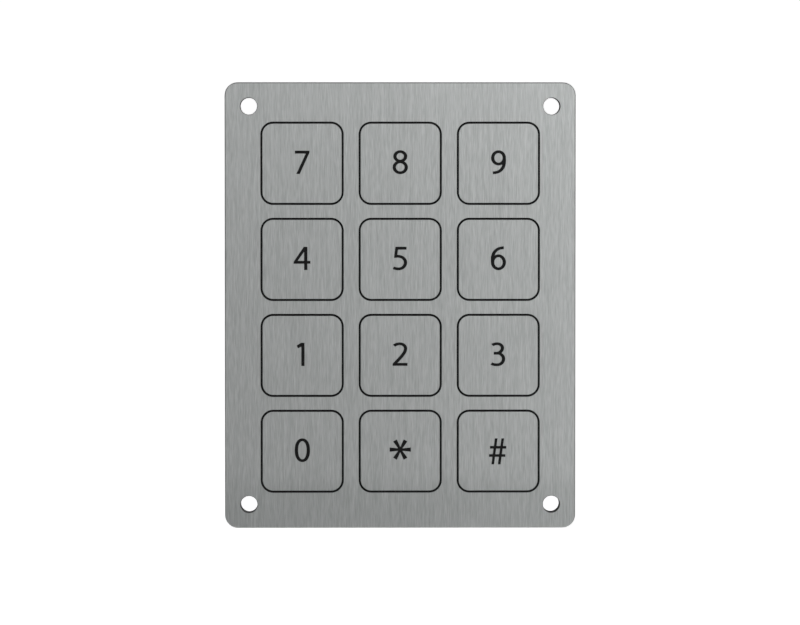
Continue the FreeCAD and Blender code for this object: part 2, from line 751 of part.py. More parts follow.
def make_key_guide():
    """The acetal grid in the recess: ribs between the flanges and an eye round each stud."""
    ribs = []
    depth = "0 - recess_depth"
    for index in range(COLUMNS - 1):
        x = f"{index - (COLUMNS - 2) / 2} * key_pitch_x"
        width = "key_pitch_x - flange_width - 2 * guide_slip"
        size = (width, "recess_depth", "recess_height")
        ribs.append(block(f"upright_{index}", *size, x, depth, "0 - field_drop"))
    for index in range(ROWS - 1):
        z = f"{index - (ROWS - 2) / 2} * key_pitch_z - field_drop"
        width = "key_pitch_z - flange_height - 2 * guide_slip"
        size = ("recess_width", "recess_depth", width)
        ribs.append(block(f"crossbar_{index}", *size, "0", depth, z))
    eyes = []
    for index, (x, z) in enumerate(stud_places()):
        ribs.append(disc(f"eye_{index}", "2 * eye_radius", "recess_depth", x, depth, z))
        eyes.append(disc(f"eye_hole_{index}", "2 * stud_hole", "recess_depth", x, depth, z))
    finish(cut("Guide", fuse("guide_ribs", ribs), fuse("guide_holes", eyes)), "key_guide")


def cut_stud_holes(body, y):
    """Clearance holes for the six studs through a slab body."""
    circles = face_sketch(body, body.Name + "_stud_circles", y)
    for index, (x, z) in enumerate(stud_places()):
        draw_circle(circles, f"stud{index}", "stud_hole", x, z)
    DOC.recompute()
    pocket(body, body.Name + "_stud_holes", circles)


def make_key_mat():
    """The silicone mat: a base with stud holes and twelve domes that push the keys back."""
    body = scalloped_slab("Mat", "board_width", "board_height", "cover_corner", "board_scallop",
                          "0", "mat_base")
    cut_stud_holes(body, "0")
    x, z = first_key()
    room = face_sketch(body, "dome_room", "0", x, z)
    draw_circle(room, "room", "dome_diameter / 2")
    DOC.recompute()
    first_room = pocket(body, "first_room", room)

    profile = new_sketch(body, "dome_profile", "XY_Plane")
    bind(profile, "AttachmentOffset.Base.x", x)
    bind(profile, "AttachmentOffset.Base.z", z)
    pad_front = "flange_rear + rest_gap"
    pad_edge = "pad_diameter / 2"
    base_edge = "dome_diameter / 2 + mat_skin"
    points = [
        ("0", pad_front), (pad_edge, pad_front), (pad_edge, f"{pad_front} + mat_skin"), (base_edge, "0"),
        (base_edge, "mat_skin"), (pad_edge, "pill_front"), ("0", "pill_front"),
    ]
    draw_polygon(profile, "dome", points)
    DOC.recompute()
    dome = body.newObject("PartDesign::Revolution", "first_dome")
    dome.Profile = profile
    dome.ReferenceAxis = (profile, ["V_Axis"])
    dome.Angle = 360
    repeat_at_keys(body, "all_domes", [first_room, dome])
    finish(body, "key_mat")


CONTACT_RIM = 0.5
CONTACT_SLIT = 0.5


def make_circuit_board():
    """The board behind the mat and its twelve pairs of half round gold contacts."""
    body = scalloped_slab("Board", "board_width", "board_height", "cover_corner", "board_scallop",
                          "mat_base", "board_thickness")
    cut_stud_holes(body, "mat_base")
    finish(body, "circuit_board")
    halves = []
    y = "mat_base - contact_thickness"
    for name, x, z in key_places():
        across = f"pill_diameter + 2 * {CONTACT_RIM}"
        round_pad = disc("gold_" + name, across, "contact_thickness", x, y, z)
        slit = block("slit_" + name, f"{CONTACT_SLIT}", "contact_thickness", across, x, y, z)
        halves.append(cut("halves_" + name, round_pad, slit))
    finish(group("Contacts", halves), "contact_pads")


# ---------------------------------------------------------------- studs, nuts and standoffs

STUD_SPARE = 1.0


def make_fixings():
    """Weld studs and washers, two nuts in the middle and four standoffs for the rear cover."""
    studs = []
    washers = []
    nuts = []
    standoffs = []
    for index, (x, z) in enumerate(stud_places()):
        length = f"recess_depth + washer_rear + nut_height + {STUD_SPARE}"
        studs.append(disc(f"stud_{index}", "stud_diameter", length, x, "0 - recess_depth", z))
        ring = ("washer_diameter", "2 * stud_hole", "washer_thickness")
        washers.append(tube(f"washer_{index}", *ring, x, "board_rear", z))
        middle_row = index % 3 == 1
        length = "nut_height" if middle_row else "standoff_length"
        solid = hexagon(f"hex_{index}", length, x, "washer_rear", z)
        bore = disc(f"hex_bore_{index}", "stud_diameter", length, x, "washer_rear", z)
        (nuts if middle_row else standoffs).append(cut(f"threaded_{index}", solid, bore))
    finish(group("Studs", studs), "weld_studs")
    finish(group("Washers", washers), "stud_washers")
    finish(group("Nuts", nuts), "stud_nuts")
    finish(group("Standoffs", standoffs), "standoffs")


# ---------------------------------------------------------------- what sits on the board

CHIP_SIDE = 10.0
CHIP_HEIGHT = 1.4
CHIP_LIFT = 0.15
LEAD_PITCH = 0.8
LEADS_A_SIDE = 8
LEAD_WIDTH = 0.37
LEAD_REACH = 1.0
LEAD_THICKNESS = 0.15
PIN_MARK = 1.2
PIN_MARK_DEPTH = 0.1
PIN_MARK_INSET = 1.5
CHIP_Z = "0.5 * key_pitch_z - field_drop"
TERMINAL_Z = "0 - 0.5 * key_pitch_z - field_drop"


def make_controller_chip():
    """The square controller chip and its gull wing leads, above the middle of the board."""
    size = (f"{CHIP_SIDE}", f"{CHIP_HEIGHT}", f"{CHIP_SIDE}")
    package = block("package", *size, "0", f"board_rear + {CHIP_LIFT}", CHIP_Z)
    corner = CHIP_SIDE / 2 - PIN_MARK_INSET
    mark_y = f"board_rear + {CHIP_LIFT + CHIP_HEIGHT - PIN_MARK_DEPTH}"
    mark = disc("first_pin_mark", f"{PIN_MARK}", f"{PIN_MARK_DEPTH}", f"{corner}", mark_y,
                f"{CHIP_Z} + {corner}")
    finish(cut("Chip", package, mark), "controller_chip")
    leads = []
    for side in range(4):
        turn = FreeCAD.Rotation(FreeCAD.Vector(0, 1, 0), 90 * side)
        for index in range(LEADS_A_SIDE):
            offset = (index - (LEADS_A_SIDE - 1) / 2) * LEAD_PITCH
            leads.append(lead_at(f"lead_{side}_{index}", turn, offset))
    finish(group("Leads", leads), "chip_leads")


def lead_at(name, turn, offset):
    """One gull wing lead, its foot on the board and its shoulder in the package's side."""
    edge = CHIP_SIDE / 2
    rise = CHIP_LIFT + CHIP_HEIGHT / 2
    half = LEAD_THICKNESS / 2
    knee = LEAD_REACH * 0.4
    outline = [
        (edge, rise - half), (edge + knee - half, rise - half), (edge + knee - half, 0.0),
        (edge + LEAD_REACH, 0.0), (edge + LEAD_REACH, LEAD_THICKNESS), (edge + knee + half, LEAD_THICKNESS),
        (edge + knee + half, rise + half), (edge, rise + half),
    ]
    corners = [FreeCAD.Vector(x, y, offset - LEAD_WIDTH / 2) for x, y in outline]
    lead = DOC.addObject("Part::Feature", name)
    flat = Part.Face(Part.makePolygon(corners + corners[:1]))
    lead.Shape = flat.extrude(FreeCAD.Vector(0, 0, LEAD_WIDTH))
    lead.Placement = FreeCAD.Placement(FreeCAD.Vector(), turn)
    place(lead, "0", "board_rear", CHIP_Z)
    return lead


def rounded_can(name, width, height, corner, length, x, y, z):
    """A small upright case with round corners on the board's rear."""
    body = new_body(name)
    outline = face_sketch(body, name + "_outline", y, x, z)
    draw_rounded_rectangle(outline, "can", width, height, corner)
    pad(body, name + "_case", outline, length)
    return body


# Width, depth out of the board and height of each part's box, unless it says otherwise.
CRYSTAL = (11.4, 3.6, 4.7)
CRYSTAL_CORNER = 2.3
REGULATOR_CASE = (6.5, 1.6, 3.5)
REGULATOR_TAB = (3.0, 0.3, 7.0)
REGULATOR_LEG = (0.7, 0.3, 3.5)
REGULATOR_LEG_PITCH = 2.3
CAPACITOR_FOOT = (6.6, 1.0, 6.6)
CAPACITOR_DIAMETER = 6.3
CAPACITOR_LENGTH = 5.4
CAPACITOR_PITCH = 8.4
RESISTOR = (2.0, 0.5, 1.25)
RESISTOR_COLUMNS = 2
RESISTOR_ROWS = 4
RESISTOR_PITCH_X = 4.0
RESISTOR_PITCH_Z = 2.4
SOUNDER_DIAMETER = 12.0
SOUNDER_LENGTH = 6.0
SOUNDER_PORT = 2.0
SOUNDER_Z = "1.5 * key_pitch_z - field_drop"
LEFT_COLUMN = "0 - key_pitch_x"
RIGHT_COLUMN = "key_pitch_x"


def on_board(name, size, x, z):
    """A box of (width, depth, height) millimetres on the board's rear."""
    width, depth, height = (f"{length}" for length in size)
    return block(name, width, depth, height, x, "board_rear", z)


def make_crystal():
    """The crystal in its can with round ends."""
    width, length, height = (f"{size}" for size in CRYSTAL)
    outline = (width, height, f"{CRYSTAL_CORNER}")
    finish(rounded_can("Crystal", *outline, length, LEFT_COLUMN, "board_rear", CHIP_Z), "crystal")


def make_voltage_regulator():
    """The regulator: its case, the tab above it and three legs below."""
    tab_shift = REGULATOR_TAB[2] / 4
    leg_shift = REGULATOR_LEG[2] / 2
    pieces = [
        on_board("regulator_case", REGULATOR_CASE, RIGHT_COLUMN, TERMINAL_Z),
        on_board("regulator_tab", REGULATOR_TAB, RIGHT_COLUMN, f"{TERMINAL_Z} + {tab_shift}"),
    ]
    for index in range(3):
        x = f"{RIGHT_COLUMN} + {REGULATOR_LEG_PITCH * (index - 1)}"
        pieces.append(on_board(f"regulator_leg_{index}", REGULATOR_LEG, x, f"{TERMINAL_Z} - {leg_shift}"))
    finish(fuse("Regulator", pieces), "voltage_regulator")


def make_capacitors():
    """Two round capacitors on square feet, one above the other."""
    cans = []
    for index, side in enumerate((-0.5, 0.5)):
        z = f"{CHIP_Z} + {side * CAPACITOR_PITCH}"
        foot = on_board(f"capacitor_foot_{index}", CAPACITOR_FOOT, RIGHT_COLUMN, z)
        can = disc(f"capacitor_can_{index}", f"{CAPACITOR_DIAMETER}", f"{CAPACITOR_LENGTH}",
                   RIGHT_COLUMN, "board_rear", z)
        cans.append(fuse(f"capacitor_{index}", [foot, can]))
    finish(group("Capacitors", cans), "capacitors")


def make_chip_resistors():
    """A block of small chip resistors."""
    chips = []
    for column in range(RESISTOR_COLUMNS):
        x = f"{LEFT_COLUMN} + {(column - (RESISTOR_COLUMNS - 1) / 2) * RESISTOR_PITCH_X}"
        for row in range(RESISTOR_ROWS):
            z = f"{TERMINAL_Z} + {(row - (RESISTOR_ROWS - 1) / 2) * RESISTOR_PITCH_Z:.3f}"
            chips.append(on_board(f"resistor_{column}_{row}", RESISTOR, x, z))
    finish(group("Resistors", chips), "chip_resistors")


def make_sounder():
    """The round sounder and the port in its rear."""
    drum = disc("sounder_drum", f"{SOUNDER_DIAMETER}", f"{SOUNDER_LENGTH}", "0", "board_rear", SOUNDER_Z)
    port_y = f"board_rear + {SOUNDER_LENGTH - SOUNDER_PORT}"
    port = disc("sounder_port", f"{SOUNDER_PORT}", f"{SOUNDER_PORT}", "0", port_y, SOUNDER_Z)
    finish(cut("Sounder", drum, port), "sounder")


WAYS = 8
WAY_PITCH = 3.5
TERMINAL_DEPTH = 7.2
WIRE_ENTRY = 2.4
CLAMP_HEAD = 2.6
WELL_DEPTH = 3.0
ENTRY_HEIGHT = 2.6
ENTRY_DEPTH = 5.0
TERMINAL_CORNER = 0.4
CLAMP_SLIP = 0.1
CLAMP_LENGTH = 1.6
CLAMP_SLOT = 0.5


def make_terminal_block():
    """Eight screw terminals: wire entries face down, clamp screws face the rear."""
    length = WAYS * WAY_PITCH + 1.0
    size = (f"{length}", f"{TERMINAL_DEPTH}", f"{TERMINAL_CORNER}", "terminal_height")
    body = rounded_can("Terminal", *size, "0", "board_rear", TERMINAL_Z)
    start = -(WAYS - 1) / 2 * WAY_PITCH
    wells = face_sketch(body, "clamp_well", "board_rear + terminal_height", f"{start}", TERMINAL_Z)
    draw_circle(wells, "well", f"{CLAMP_HEAD} / 2")
    DOC.recompute()
    first_well = pocket(body, "first_well", wells, f"{WELL_DEPTH}", rearward=False)

    entry = new_sketch(body, "wire_entry", "XY_Plane")
    bind(entry, "AttachmentOffset.Base.x", f"{start}")
    bind(entry, "AttachmentOffset.Base.y", f"board_rear + {ENTRY_HEIGHT}")
    bind(entry, "AttachmentOffset.Base.z", f"{TERMINAL_Z} - {TERMINAL_DEPTH / 2}")
    draw_rounded_rectangle(entry, "entry", f"{WIRE_ENTRY}", f"{WIRE_ENTRY}", "0.2")
    DOC.recompute()
    first_entry = body.newObject("PartDesign::Pocket", "first_entry")
    first_entry.Profile = entry
    first_entry.Length = ENTRY_DEPTH
    first_entry.Reversed = True
    repeat(body, "all_ways", [first_well, first_entry], [("X_Axis", f"{(WAYS - 1) * WAY_PITCH}", WAYS)])
    finish(body, "terminal_block")

    screws = []
    for index in range(WAYS):
        x = f"{start + index * WAY_PITCH}"
        y = f"board_rear + terminal_height - {WELL_DEPTH}"
        across = f"{CLAMP_HEAD - 2 * CLAMP_SLIP}"
        head = disc(f"clamp_head_{index}", across, f"{CLAMP_LENGTH}", x, y, TERMINAL_Z)
        slot_size = (f"{CLAMP_HEAD}", f"{CLAMP_LENGTH / 2}", f"{CLAMP_SLOT}")
        slot = block(f"clamp_slot_{index}", *slot_size, x, f"{y} + {CLAMP_LENGTH / 2}", TERMINAL_Z)
        screws.append(cut(f"clamp_screw_{index}", head, slot))
    finish(group("Clamps", screws), "terminal_screws")


# ---------------------------------------------------------------- rear cover and gaskets

SCREW_FLARE = 1.1
SCREW_SINK = 1.2
SHANK_REACH = 4.0
SOCKET_FLATS = 1.5
SOCKET_DEPTH = 0.9
INLET_Z = "0 - 1.5 * key_pitch_z - field_drop"


def cover_screw_places():
    """X and Z formulas of the standoffs that the rear cover is screwed to."""
    return [spot for index, spot in enumerate(stud_places()) if index % 3 != 1]


def make_rear_cover():
    """The moulded cover over the works, scalloped at the corners to clear the panel screws."""
    outer = scalloped_slab("CoverOuter", "cover_width", "cover_height", "cover_corner", "scallop_radius",
                           "gasket_thickness", "cover_depth - gasket_thickness")
    round_rear_edges(outer)
    room = scalloped_slab("CoverRoom", "cover_width - 2 * cover_wall", "cover_height - 2 * cover_wall",
                          "cover_corner", "scallop_radius + cover_wall", "gasket_thickness",
                          "cover_inside - gasket_thickness")
    holes = [disc("inlet_hole", "inlet_groove", "cover_back", "0", "cover_inside", INLET_Z)]
    for index, (x, z) in enumerate(cover_screw_places()):
        holes.append(disc(f"cover_hole_{index}", "2 * stud_hole", "cover_back", x, "cover_inside", z))
        holes.append(sunk_cone(f"cover_sink_{index}", x, z))
    finish(cut("Cover", cut("cover_shell", outer, room), fuse("cover_holes", holes)), "rear_cover")


def round_rear_edges(body):
    """Round the cover's upright corners and its rear rim."""
    rear = size_of("cover_depth")

    def upright(edge):
        box = edge.BoundBox
        return box.XLength < 1e-4 and box.ZLength < 1e-4 and isinstance(edge.Curve, Part.Line)

    def on_rear(edge):
        return lies_at(edge, rear)

    for name, wanted in (("corner_rounds", upright), ("rear_rounds", on_rear)):
        DOC.recompute()
        base = body.Tip
        names = edges_at(base.Shape, wanted)
        feature = body.newObject("PartDesign::Fillet", body.Name + name)
        feature.Base = (base, names)
        bind(feature, "Radius", "cover_round")
    DOC.recompute()


def sunk_cone(name, x, z):
    """The cone of a countersunk head, its wide end flush with the cover's rear face."""
    item = DOC.addObject("Part::Cone", name)
    item.Placement = FreeCAD.Placement(FreeCAD.Vector(), FreeCAD.Rotation(FreeCAD.Vector(1, 0, 0), -90))
    bind(item, "Radius1", "stud_diameter / 2")
    bind(item, "Radius2", f"stud_diameter / 2 + {SCREW_FLARE}")
    item.Height = SCREW_SINK
    place(item, x, f"cover_depth - {SCREW_SINK}", z)
    return item


def make_cover_screws():
    """Four countersunk screws that hold the rear cover to the standoffs."""
    screws = []
    for index, (x, z) in enumerate(cover_screw_places()):
        head = sunk_cone(f"head_{index}", x, z)
        shank = disc(f"shank_{index}", "stud_diameter", f"cover_back + {SHANK_REACH}", x,
                     f"cover_inside - {SHANK_REACH}", z)
        socket = DOC.addObject("Part::Prism", f"socket_{index}")
        socket.Placement = FreeCAD.Placement(FreeCAD.Vector(), FreeCAD.Rotation(FreeCAD.Vector(1, 0, 0), -90))
        socket.Polygon = 6
        socket.Circumradius = SOCKET_FLATS / 2 / math.cos(math.pi / 6)
        socket.Height = SOCKET_DEPTH
        place(socket, x, f"cover_depth - {SOCKET_DEPTH}", z)
        trimmed = cut(f"socketed_{index}", fuse(f"sunk_screw_{index}", [head, shank]), socket)
        screws.append(trimmed)
    finish(group("CoverScrews", screws), "cover_screws")


def make_cover_gasket():
    """The flat ring between the cover's rim and the plate."""
    outer = scalloped_slab("GasketOuter", "cover_width", "cover_height", "cover_corner", "scallop_radius",
                           "0", "gasket_thickness")
    room = scalloped_slab("GasketRoom", "cover_width - 2 * cover_wall", "cover_height - 2 * cover_wall",
                          "cover_corner", "scallop_radius + cover_wall", "0", "gasket_thickness")
    finish(cut("CoverGasket", outer, room), "cover_gasket")


FOAM_HOLE_SLIP = 0.2


def make_panel_gasket():
    """The foam ring between plate and panel, with holes for the panel screws."""
    sheet = new_body("Foam")
    outline = face_sketch(sheet, "foam_outline", "0")
    width = "plate_width - 2 * panel_gasket_inset"
    height = "plate_height - 2 * panel_gasket_inset"
    draw_rounded_rectangle(outline, "foam", width, height, "plate_corner - panel_gasket_inset")
    pad(sheet, "foam_sheet", outline, "panel_gasket_thickness")
    window_width = "cover_width + 2 * panel_gasket_gap"
    window_height = "cover_height + 2 * panel_gasket_gap"
    window = scalloped_slab("FoamWindow", window_width, window_height, "cover_corner",
                            "scallop_radius - panel_gasket_gap", "0", "panel_gasket_thickness")
    tools = [window]
    hole = f"screw_hole + 2 * {FOAM_HOLE_SLIP}"
    for index, (x, z) in enumerate(screw_places()):
        tools.append(disc(f"foam_hole_{index}", hole, "panel_gasket_thickness", x, "0", z))
    finish(cut("PanelGasket", sheet, fuse("foam_cuts", tools)), "panel_gasket")


LIP_BEVEL_DEPTH = 0.6
LIP_BEVEL_WIDTH = 0.8


def make_cable_grommet():
    """The rubber grommet in the rear cover that the cable enters by."""
    body = new_body("Grommet")
    profile = new_sketch(body, "grommet_profile", "XY_Plane")
    bind(profile, "AttachmentOffset.Base.z", INLET_Z)
    bore, groove, flange = "inlet_bore / 2", "inlet_groove / 2", "inlet_flange / 2"
    inside, outside = "cover_inside - inlet_lip", "cover_depth + inlet_lip"
    points = [
        (bore, inside), (flange, inside), (flange, "cover_inside"), (groove, "cover_inside"),
        (groove, "cover_depth"), (flange, "cover_depth"), (flange, f"{outside} - {LIP_BEVEL_DEPTH}"),
        (f"{flange} - {LIP_BEVEL_WIDTH}", outside), (bore, outside),
    ]
    draw_polygon(profile, "grommet", points)
    turned = body.newObject("PartDesign::Revolution", "grommet_ring")
    turned.Profile = profile
    turned.ReferenceAxis = (profile, ["V_Axis"])
    turned.Angle = 360
    finish(body, "cable_grommet")


# ---------------------------------------------------------------- checks and export

def check_model():
    """Stop with a message if any object failed or any sub-part is null or not valid."""
    DOC.recompute()
    for item in DOC.Objects:
        if "Invalid" in item.State or "Error" in item.State:
            raise RuntimeError(f"{item.Name} failed: {item.State}")
    for item in PARTS:
        if item.Shape.isNull() or not item.Shape.isValid():
            raise RuntimeError(f"{item.Label} has no valid shape")


def write_parts():
    """Write each sub-part to its own file."""
    os.makedirs("parts", exist_ok=True)
    for item in PARTS:
        item.Shape.exportStep(f"parts/{item.Label}.step")
        print(f"{item.Label}: {len(item.Shape.Solids)} solid(s), {item.Shape.Volume:.2f} mm3")


PARTS = []
SHEET = make_sheet()
make_front_plate()
for key_name, key_across, key_up in key_places():
    make_key(key_name, key_across, key_up)
make_key_seals()
make_key_guide()
make_key_mat()
make_circuit_board()
make_fixings()
make_controller_chip()
make_crystal()
make_voltage_regulator()
make_capacitors()
make_chip_resistors()
make_sounder()
make_terminal_block()
make_rear_cover()
make_cover_screws()
make_cover_gasket()
make_panel_gasket()
make_cable_grommet()
check_model()
write_parts()
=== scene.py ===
"""Keypad access reader: the looks of a flush stainless keypad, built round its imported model.

Every length is in metres. X is to the right, Y goes into the wall and Z is up, and the origin is
the centre of the front plate's rear face.
"""

import json
import logging
import math
from dataclasses import dataclass
from enum import Enum
from typing import Sequence

import bmesh
import bpy
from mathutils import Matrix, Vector

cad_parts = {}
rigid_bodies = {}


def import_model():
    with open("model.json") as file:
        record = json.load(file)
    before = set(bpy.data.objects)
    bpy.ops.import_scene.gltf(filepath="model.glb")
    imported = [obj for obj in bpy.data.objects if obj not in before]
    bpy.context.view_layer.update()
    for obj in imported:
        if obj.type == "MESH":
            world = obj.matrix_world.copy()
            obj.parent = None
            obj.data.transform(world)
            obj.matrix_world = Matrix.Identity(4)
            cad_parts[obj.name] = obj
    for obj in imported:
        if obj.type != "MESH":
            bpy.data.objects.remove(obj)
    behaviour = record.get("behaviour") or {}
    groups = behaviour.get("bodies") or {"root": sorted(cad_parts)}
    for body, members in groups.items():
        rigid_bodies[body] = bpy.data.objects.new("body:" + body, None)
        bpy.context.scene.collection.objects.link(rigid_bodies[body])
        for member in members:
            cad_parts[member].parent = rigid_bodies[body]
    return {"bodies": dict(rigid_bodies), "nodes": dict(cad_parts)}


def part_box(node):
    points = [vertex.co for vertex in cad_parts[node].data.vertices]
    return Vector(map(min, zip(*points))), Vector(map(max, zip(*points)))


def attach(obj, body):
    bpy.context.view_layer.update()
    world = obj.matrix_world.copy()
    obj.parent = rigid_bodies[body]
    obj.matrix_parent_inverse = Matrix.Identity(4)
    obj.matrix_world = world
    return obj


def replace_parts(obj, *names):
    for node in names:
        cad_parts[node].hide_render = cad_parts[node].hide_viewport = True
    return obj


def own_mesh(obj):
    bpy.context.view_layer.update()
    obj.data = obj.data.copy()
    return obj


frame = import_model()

LOG = logging.getLogger("keypad")
MM = 0.001
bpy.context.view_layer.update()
HOUSING = "housing"
KEYS = [body.removeprefix("button_") for body in frame["bodies"] if body.startswith("button_")]

WELD_DISTANCE = 0.001 * MM
SHARP_ANGLE = math.radians(32)
PLATE_FRONT = -4.7 * MM
COVER_BACK = 16.0 * MM

Colour = tuple[float, float, float]
Point = tuple[float, float]
Number = "Value | float"


def shade_of(colour: Colour, factor: float) -> Colour:
    """A colour made lighter or darker."""
    return tuple(factor * part for part in colour)


# ---------------------------------------------------------------- names

class Slot(Enum):
    """The record's material slots."""

    STEEL = "brushed_stainless"
    LEGEND = "legend_black"
    SEAL = "black_silicone"
    MAT = "grey_silicone"
    CARBON = "carbon"
    GUIDE = "black_acetal"
    BOARD = "green_board"
    GOLD = "gold_plate"
    BRASS = "brass_hex"
    PLAIN_STEEL = "plain_steel"
    LEAD = "tinned_lead"
    CAN = "tinned_can"
    RESIN = "chip_resin"
    TERMINAL = "terminal_green"
    HOUSING = "black_housing"
    RUBBER = "black_rubber"
    FOAM = "black_foam"


class Axis(Enum):
    """The axis that a grain or a turned surface follows."""

    X = 0
    Y = 1
    Z = 2


# ---------------------------------------------------------------- shader graphs

class Value:
    """A number that varies over a surface. Arithmetic on it adds Math nodes to its graph."""

    def __init__(self, graph: "Graph", socket: bpy.types.NodeSocket) -> None:
        """Wrap an output socket.

        Args:
            graph: the graph that the socket belongs to.
            socket: the output that carries the number.
        """
        self.graph = graph
        self.socket = socket

    def __add__(self, other: Number) -> "Value":
        """Sum with a number or another value."""
        return self.graph.math("ADD", self, other)

    def __radd__(self, other: float) -> "Value":
        """Sum that starts with a number."""
        return self.graph.math("ADD", other, self)

    def __sub__(self, other: Number) -> "Value":
        """Difference from a number or another value."""
        return self.graph.math("SUBTRACT", self, other)

    def __rsub__(self, other: float) -> "Value":
        """A number less this value."""
        return self.graph.math("SUBTRACT", other, self)

    def __mul__(self, other: Number) -> "Value":
        """Product with a number or another value."""
        return self.graph.math("MULTIPLY", self, other)

    def __rmul__(self, other: float) -> "Value":
        """Product that starts with a number."""
        return self.graph.math("MULTIPLY", other, self)

    def __pow__(self, other: Number) -> "Value":
        """This value raised to a power."""
        return self.graph.math("POWER", self, other)

    def __abs__(self) -> "Value":
        """Size without the sign."""
        return self.graph.math("ABSOLUTE", self)

    def ramp(self, low: float, high: float) -> "Value":
        """Rise smoothly from 0 at low to 1 at high.

        Args:
            low: where the result leaves 0.
            high: where the result reaches 1.

        Returns:
            The eased value.
        """
        settings = {"interpolation_type": "SMOOTHSTEP", "clamp": True}
        node = self.graph.node("ShaderNodeMapRange", settings, {0: self, 1: low, 2: high})
        return Value(self.graph, node.outputs[0])


class Graph:
    """The node tree of one material or world."""

    def __init__(self, tree: bpy.types.NodeTree) -> None:
        """Empty a node tree and keep it."""
        self.tree = tree
        tree.nodes.clear()

    def node(self, kind: str, settings: dict | None = None,
             sockets: dict | None = None) -> bpy.types.Node:
        """Add a node.

        Args:
            kind: the node's type.
            settings: properties, which are set first.
            sockets: values or links, by input name or number.

        Returns:
            The new node.
        """
        made = self.tree.nodes.new(kind)
        for name, setting in (settings or {}).items():
            setattr(made, name, setting)
        for name, given in (sockets or {}).items():
            if isinstance(given, Value):
                given = given.socket
            if isinstance(given, bpy.types.NodeSocket):
                self.tree.links.new(given, made.inputs[name])
            else:
                made.inputs[name].default_value = given
        return made

    def math(self, operation: str, *terms: Number) -> Value:
        """Add a Math node.

        Args:
            operation: the node's operation.
            terms: its inputs in order.

        Returns:
            The result.
        """
        node = self.node("ShaderNodeMath", {"operation": operation}, dict(enumerate(terms)))
        return Value(self, node.outputs[0])

    def place(self, scale: Colour = (1.0, 1.0, 1.0),
              shift: Colour = (0.0, 0.0, 0.0)) -> bpy.types.NodeSocket:
        """The surface point in the row frame, scaled and shifted.

        Args:
            scale: factor along each axis.
            shift: added after scaling.

        Returns:
            The vector output.
        """
        coordinates = self.node("ShaderNodeTexCoord").outputs["Object"]
        sockets = {"Vector": coordinates, "Location": shift, "Scale": scale}
        return self.node("ShaderNodeMapping", None, sockets).outputs[0]

    def noise(self, vector: bpy.types.NodeSocket, scale: float = 1.0, detail: float = 2.0,
              roughness: float = 0.5) -> Value:
        """Soft noise between 0 and 1.

        Args:
            vector: where the noise is read.
            scale: its frequency.
            detail: octaves.
            roughness: strength of the finer octaves.

        Returns:
            The noise value.
        """
        sockets = {"Vector": vector, "Scale": scale, "Detail": detail, "Roughness": roughness}
        return Value(self, self.node("ShaderNodeTexNoise", None, sockets).outputs[0])

    def cells(self, vector: bpy.types.NodeSocket, scale: float) -> Value:
        """Distance from the middle of the nearest cell.

        Args:
            vector: where the pattern is read.
            scale: cells a unit.

        Returns:
            The distance value.
        """
        node = self.node("ShaderNodeTexVoronoi", None, {"Vector": vector, "Scale": scale})
        return Value(self, node.outputs[0])

    def facing(self, axis: Axis) -> Value:
        """How squarely the surface faces along an axis, from 0 to 1."""
        normal = self.node("ShaderNodeTexCoord").outputs["Normal"]
        split = self.node("ShaderNodeSeparateXYZ", None, {0: normal})
        return abs(Value(self, split.outputs[axis.value]))

    def along(self, axis: Axis) -> Value:
        """The surface point's coordinate along an axis, in metres."""
        split = self.node("ShaderNodeSeparateXYZ", None, {0: self.place()})
        return Value(self, split.outputs[axis.value])

    def blend(self, factor: Number, first: object, second: object) -> bpy.types.NodeSocket:
        """Mix two colours.

        Args:
            factor: 0 for the first and 1 for the second.
            first: a colour or a colour link.
            second: a colour or a colour link.

        Returns:
            The mixed colour.
        """
        colours = [(*given, 1.0) if isinstance(given, tuple) else given for given in (first, second)]
        sockets = {0: factor, 6: colours[0], 7: colours[1]}
        return self.node("ShaderNodeMix", {"data_type": "RGBA"}, sockets).outputs[2]

    def bump(self, height: Value, strength: float, distance: float) -> bpy.types.NodeSocket:
        """Turn a height into a normal.

        Args:
            height: the relief, from 0 to 1.
            strength: share of the relief that shows.
            distance: the relief's real height.

        Returns:
            The normal.
        """
        sockets = {"Height": height, "Strength": strength, "Distance": distance}
        return self.node("ShaderNodeBump", None, sockets).outputs[0]

    def surface(self, sockets: dict, shade: Value | None = None, shaded: dict | None = None) -> None:
        """Finish with a Principled shader, or with two that are mixed.

        Args:
            sockets: its values and links by name.
            shade: where the second shader takes over.
            shaded: the second shader's values and links by name.
        """
        shader = self.node("ShaderNodeBsdfPrincipled", None, sockets)
        if shade is not None:
            second = self.node("ShaderNodeBsdfPrincipled", None, shaded)
            sockets = {0: shade, 1: shader.outputs[0], 2: second.outputs[0]}
            shader = self.node("ShaderNodeMixShader", None, sockets)
        self.node("ShaderNodeOutputMaterial", None, {0: shader.outputs[0]})


# ---------------------------------------------------------------- finishes

@dataclass(frozen=True)
class Finish:
    """A surface finish and the record's slot that it stands for."""

    name: str
    slot: Slot

    def paint(self, graph: Graph) -> None:
        """Build the shader in a graph."""
        raise NotImplementedError

    def material(self) -> bpy.types.Material:
        """The finish's material, made once."""
        found = bpy.data.materials.get(self.name)
        if found is None:
            found = bpy.data.materials.new(self.name)
            found.use_nodes = True
            self.paint(Graph(found.node_tree))
        return found


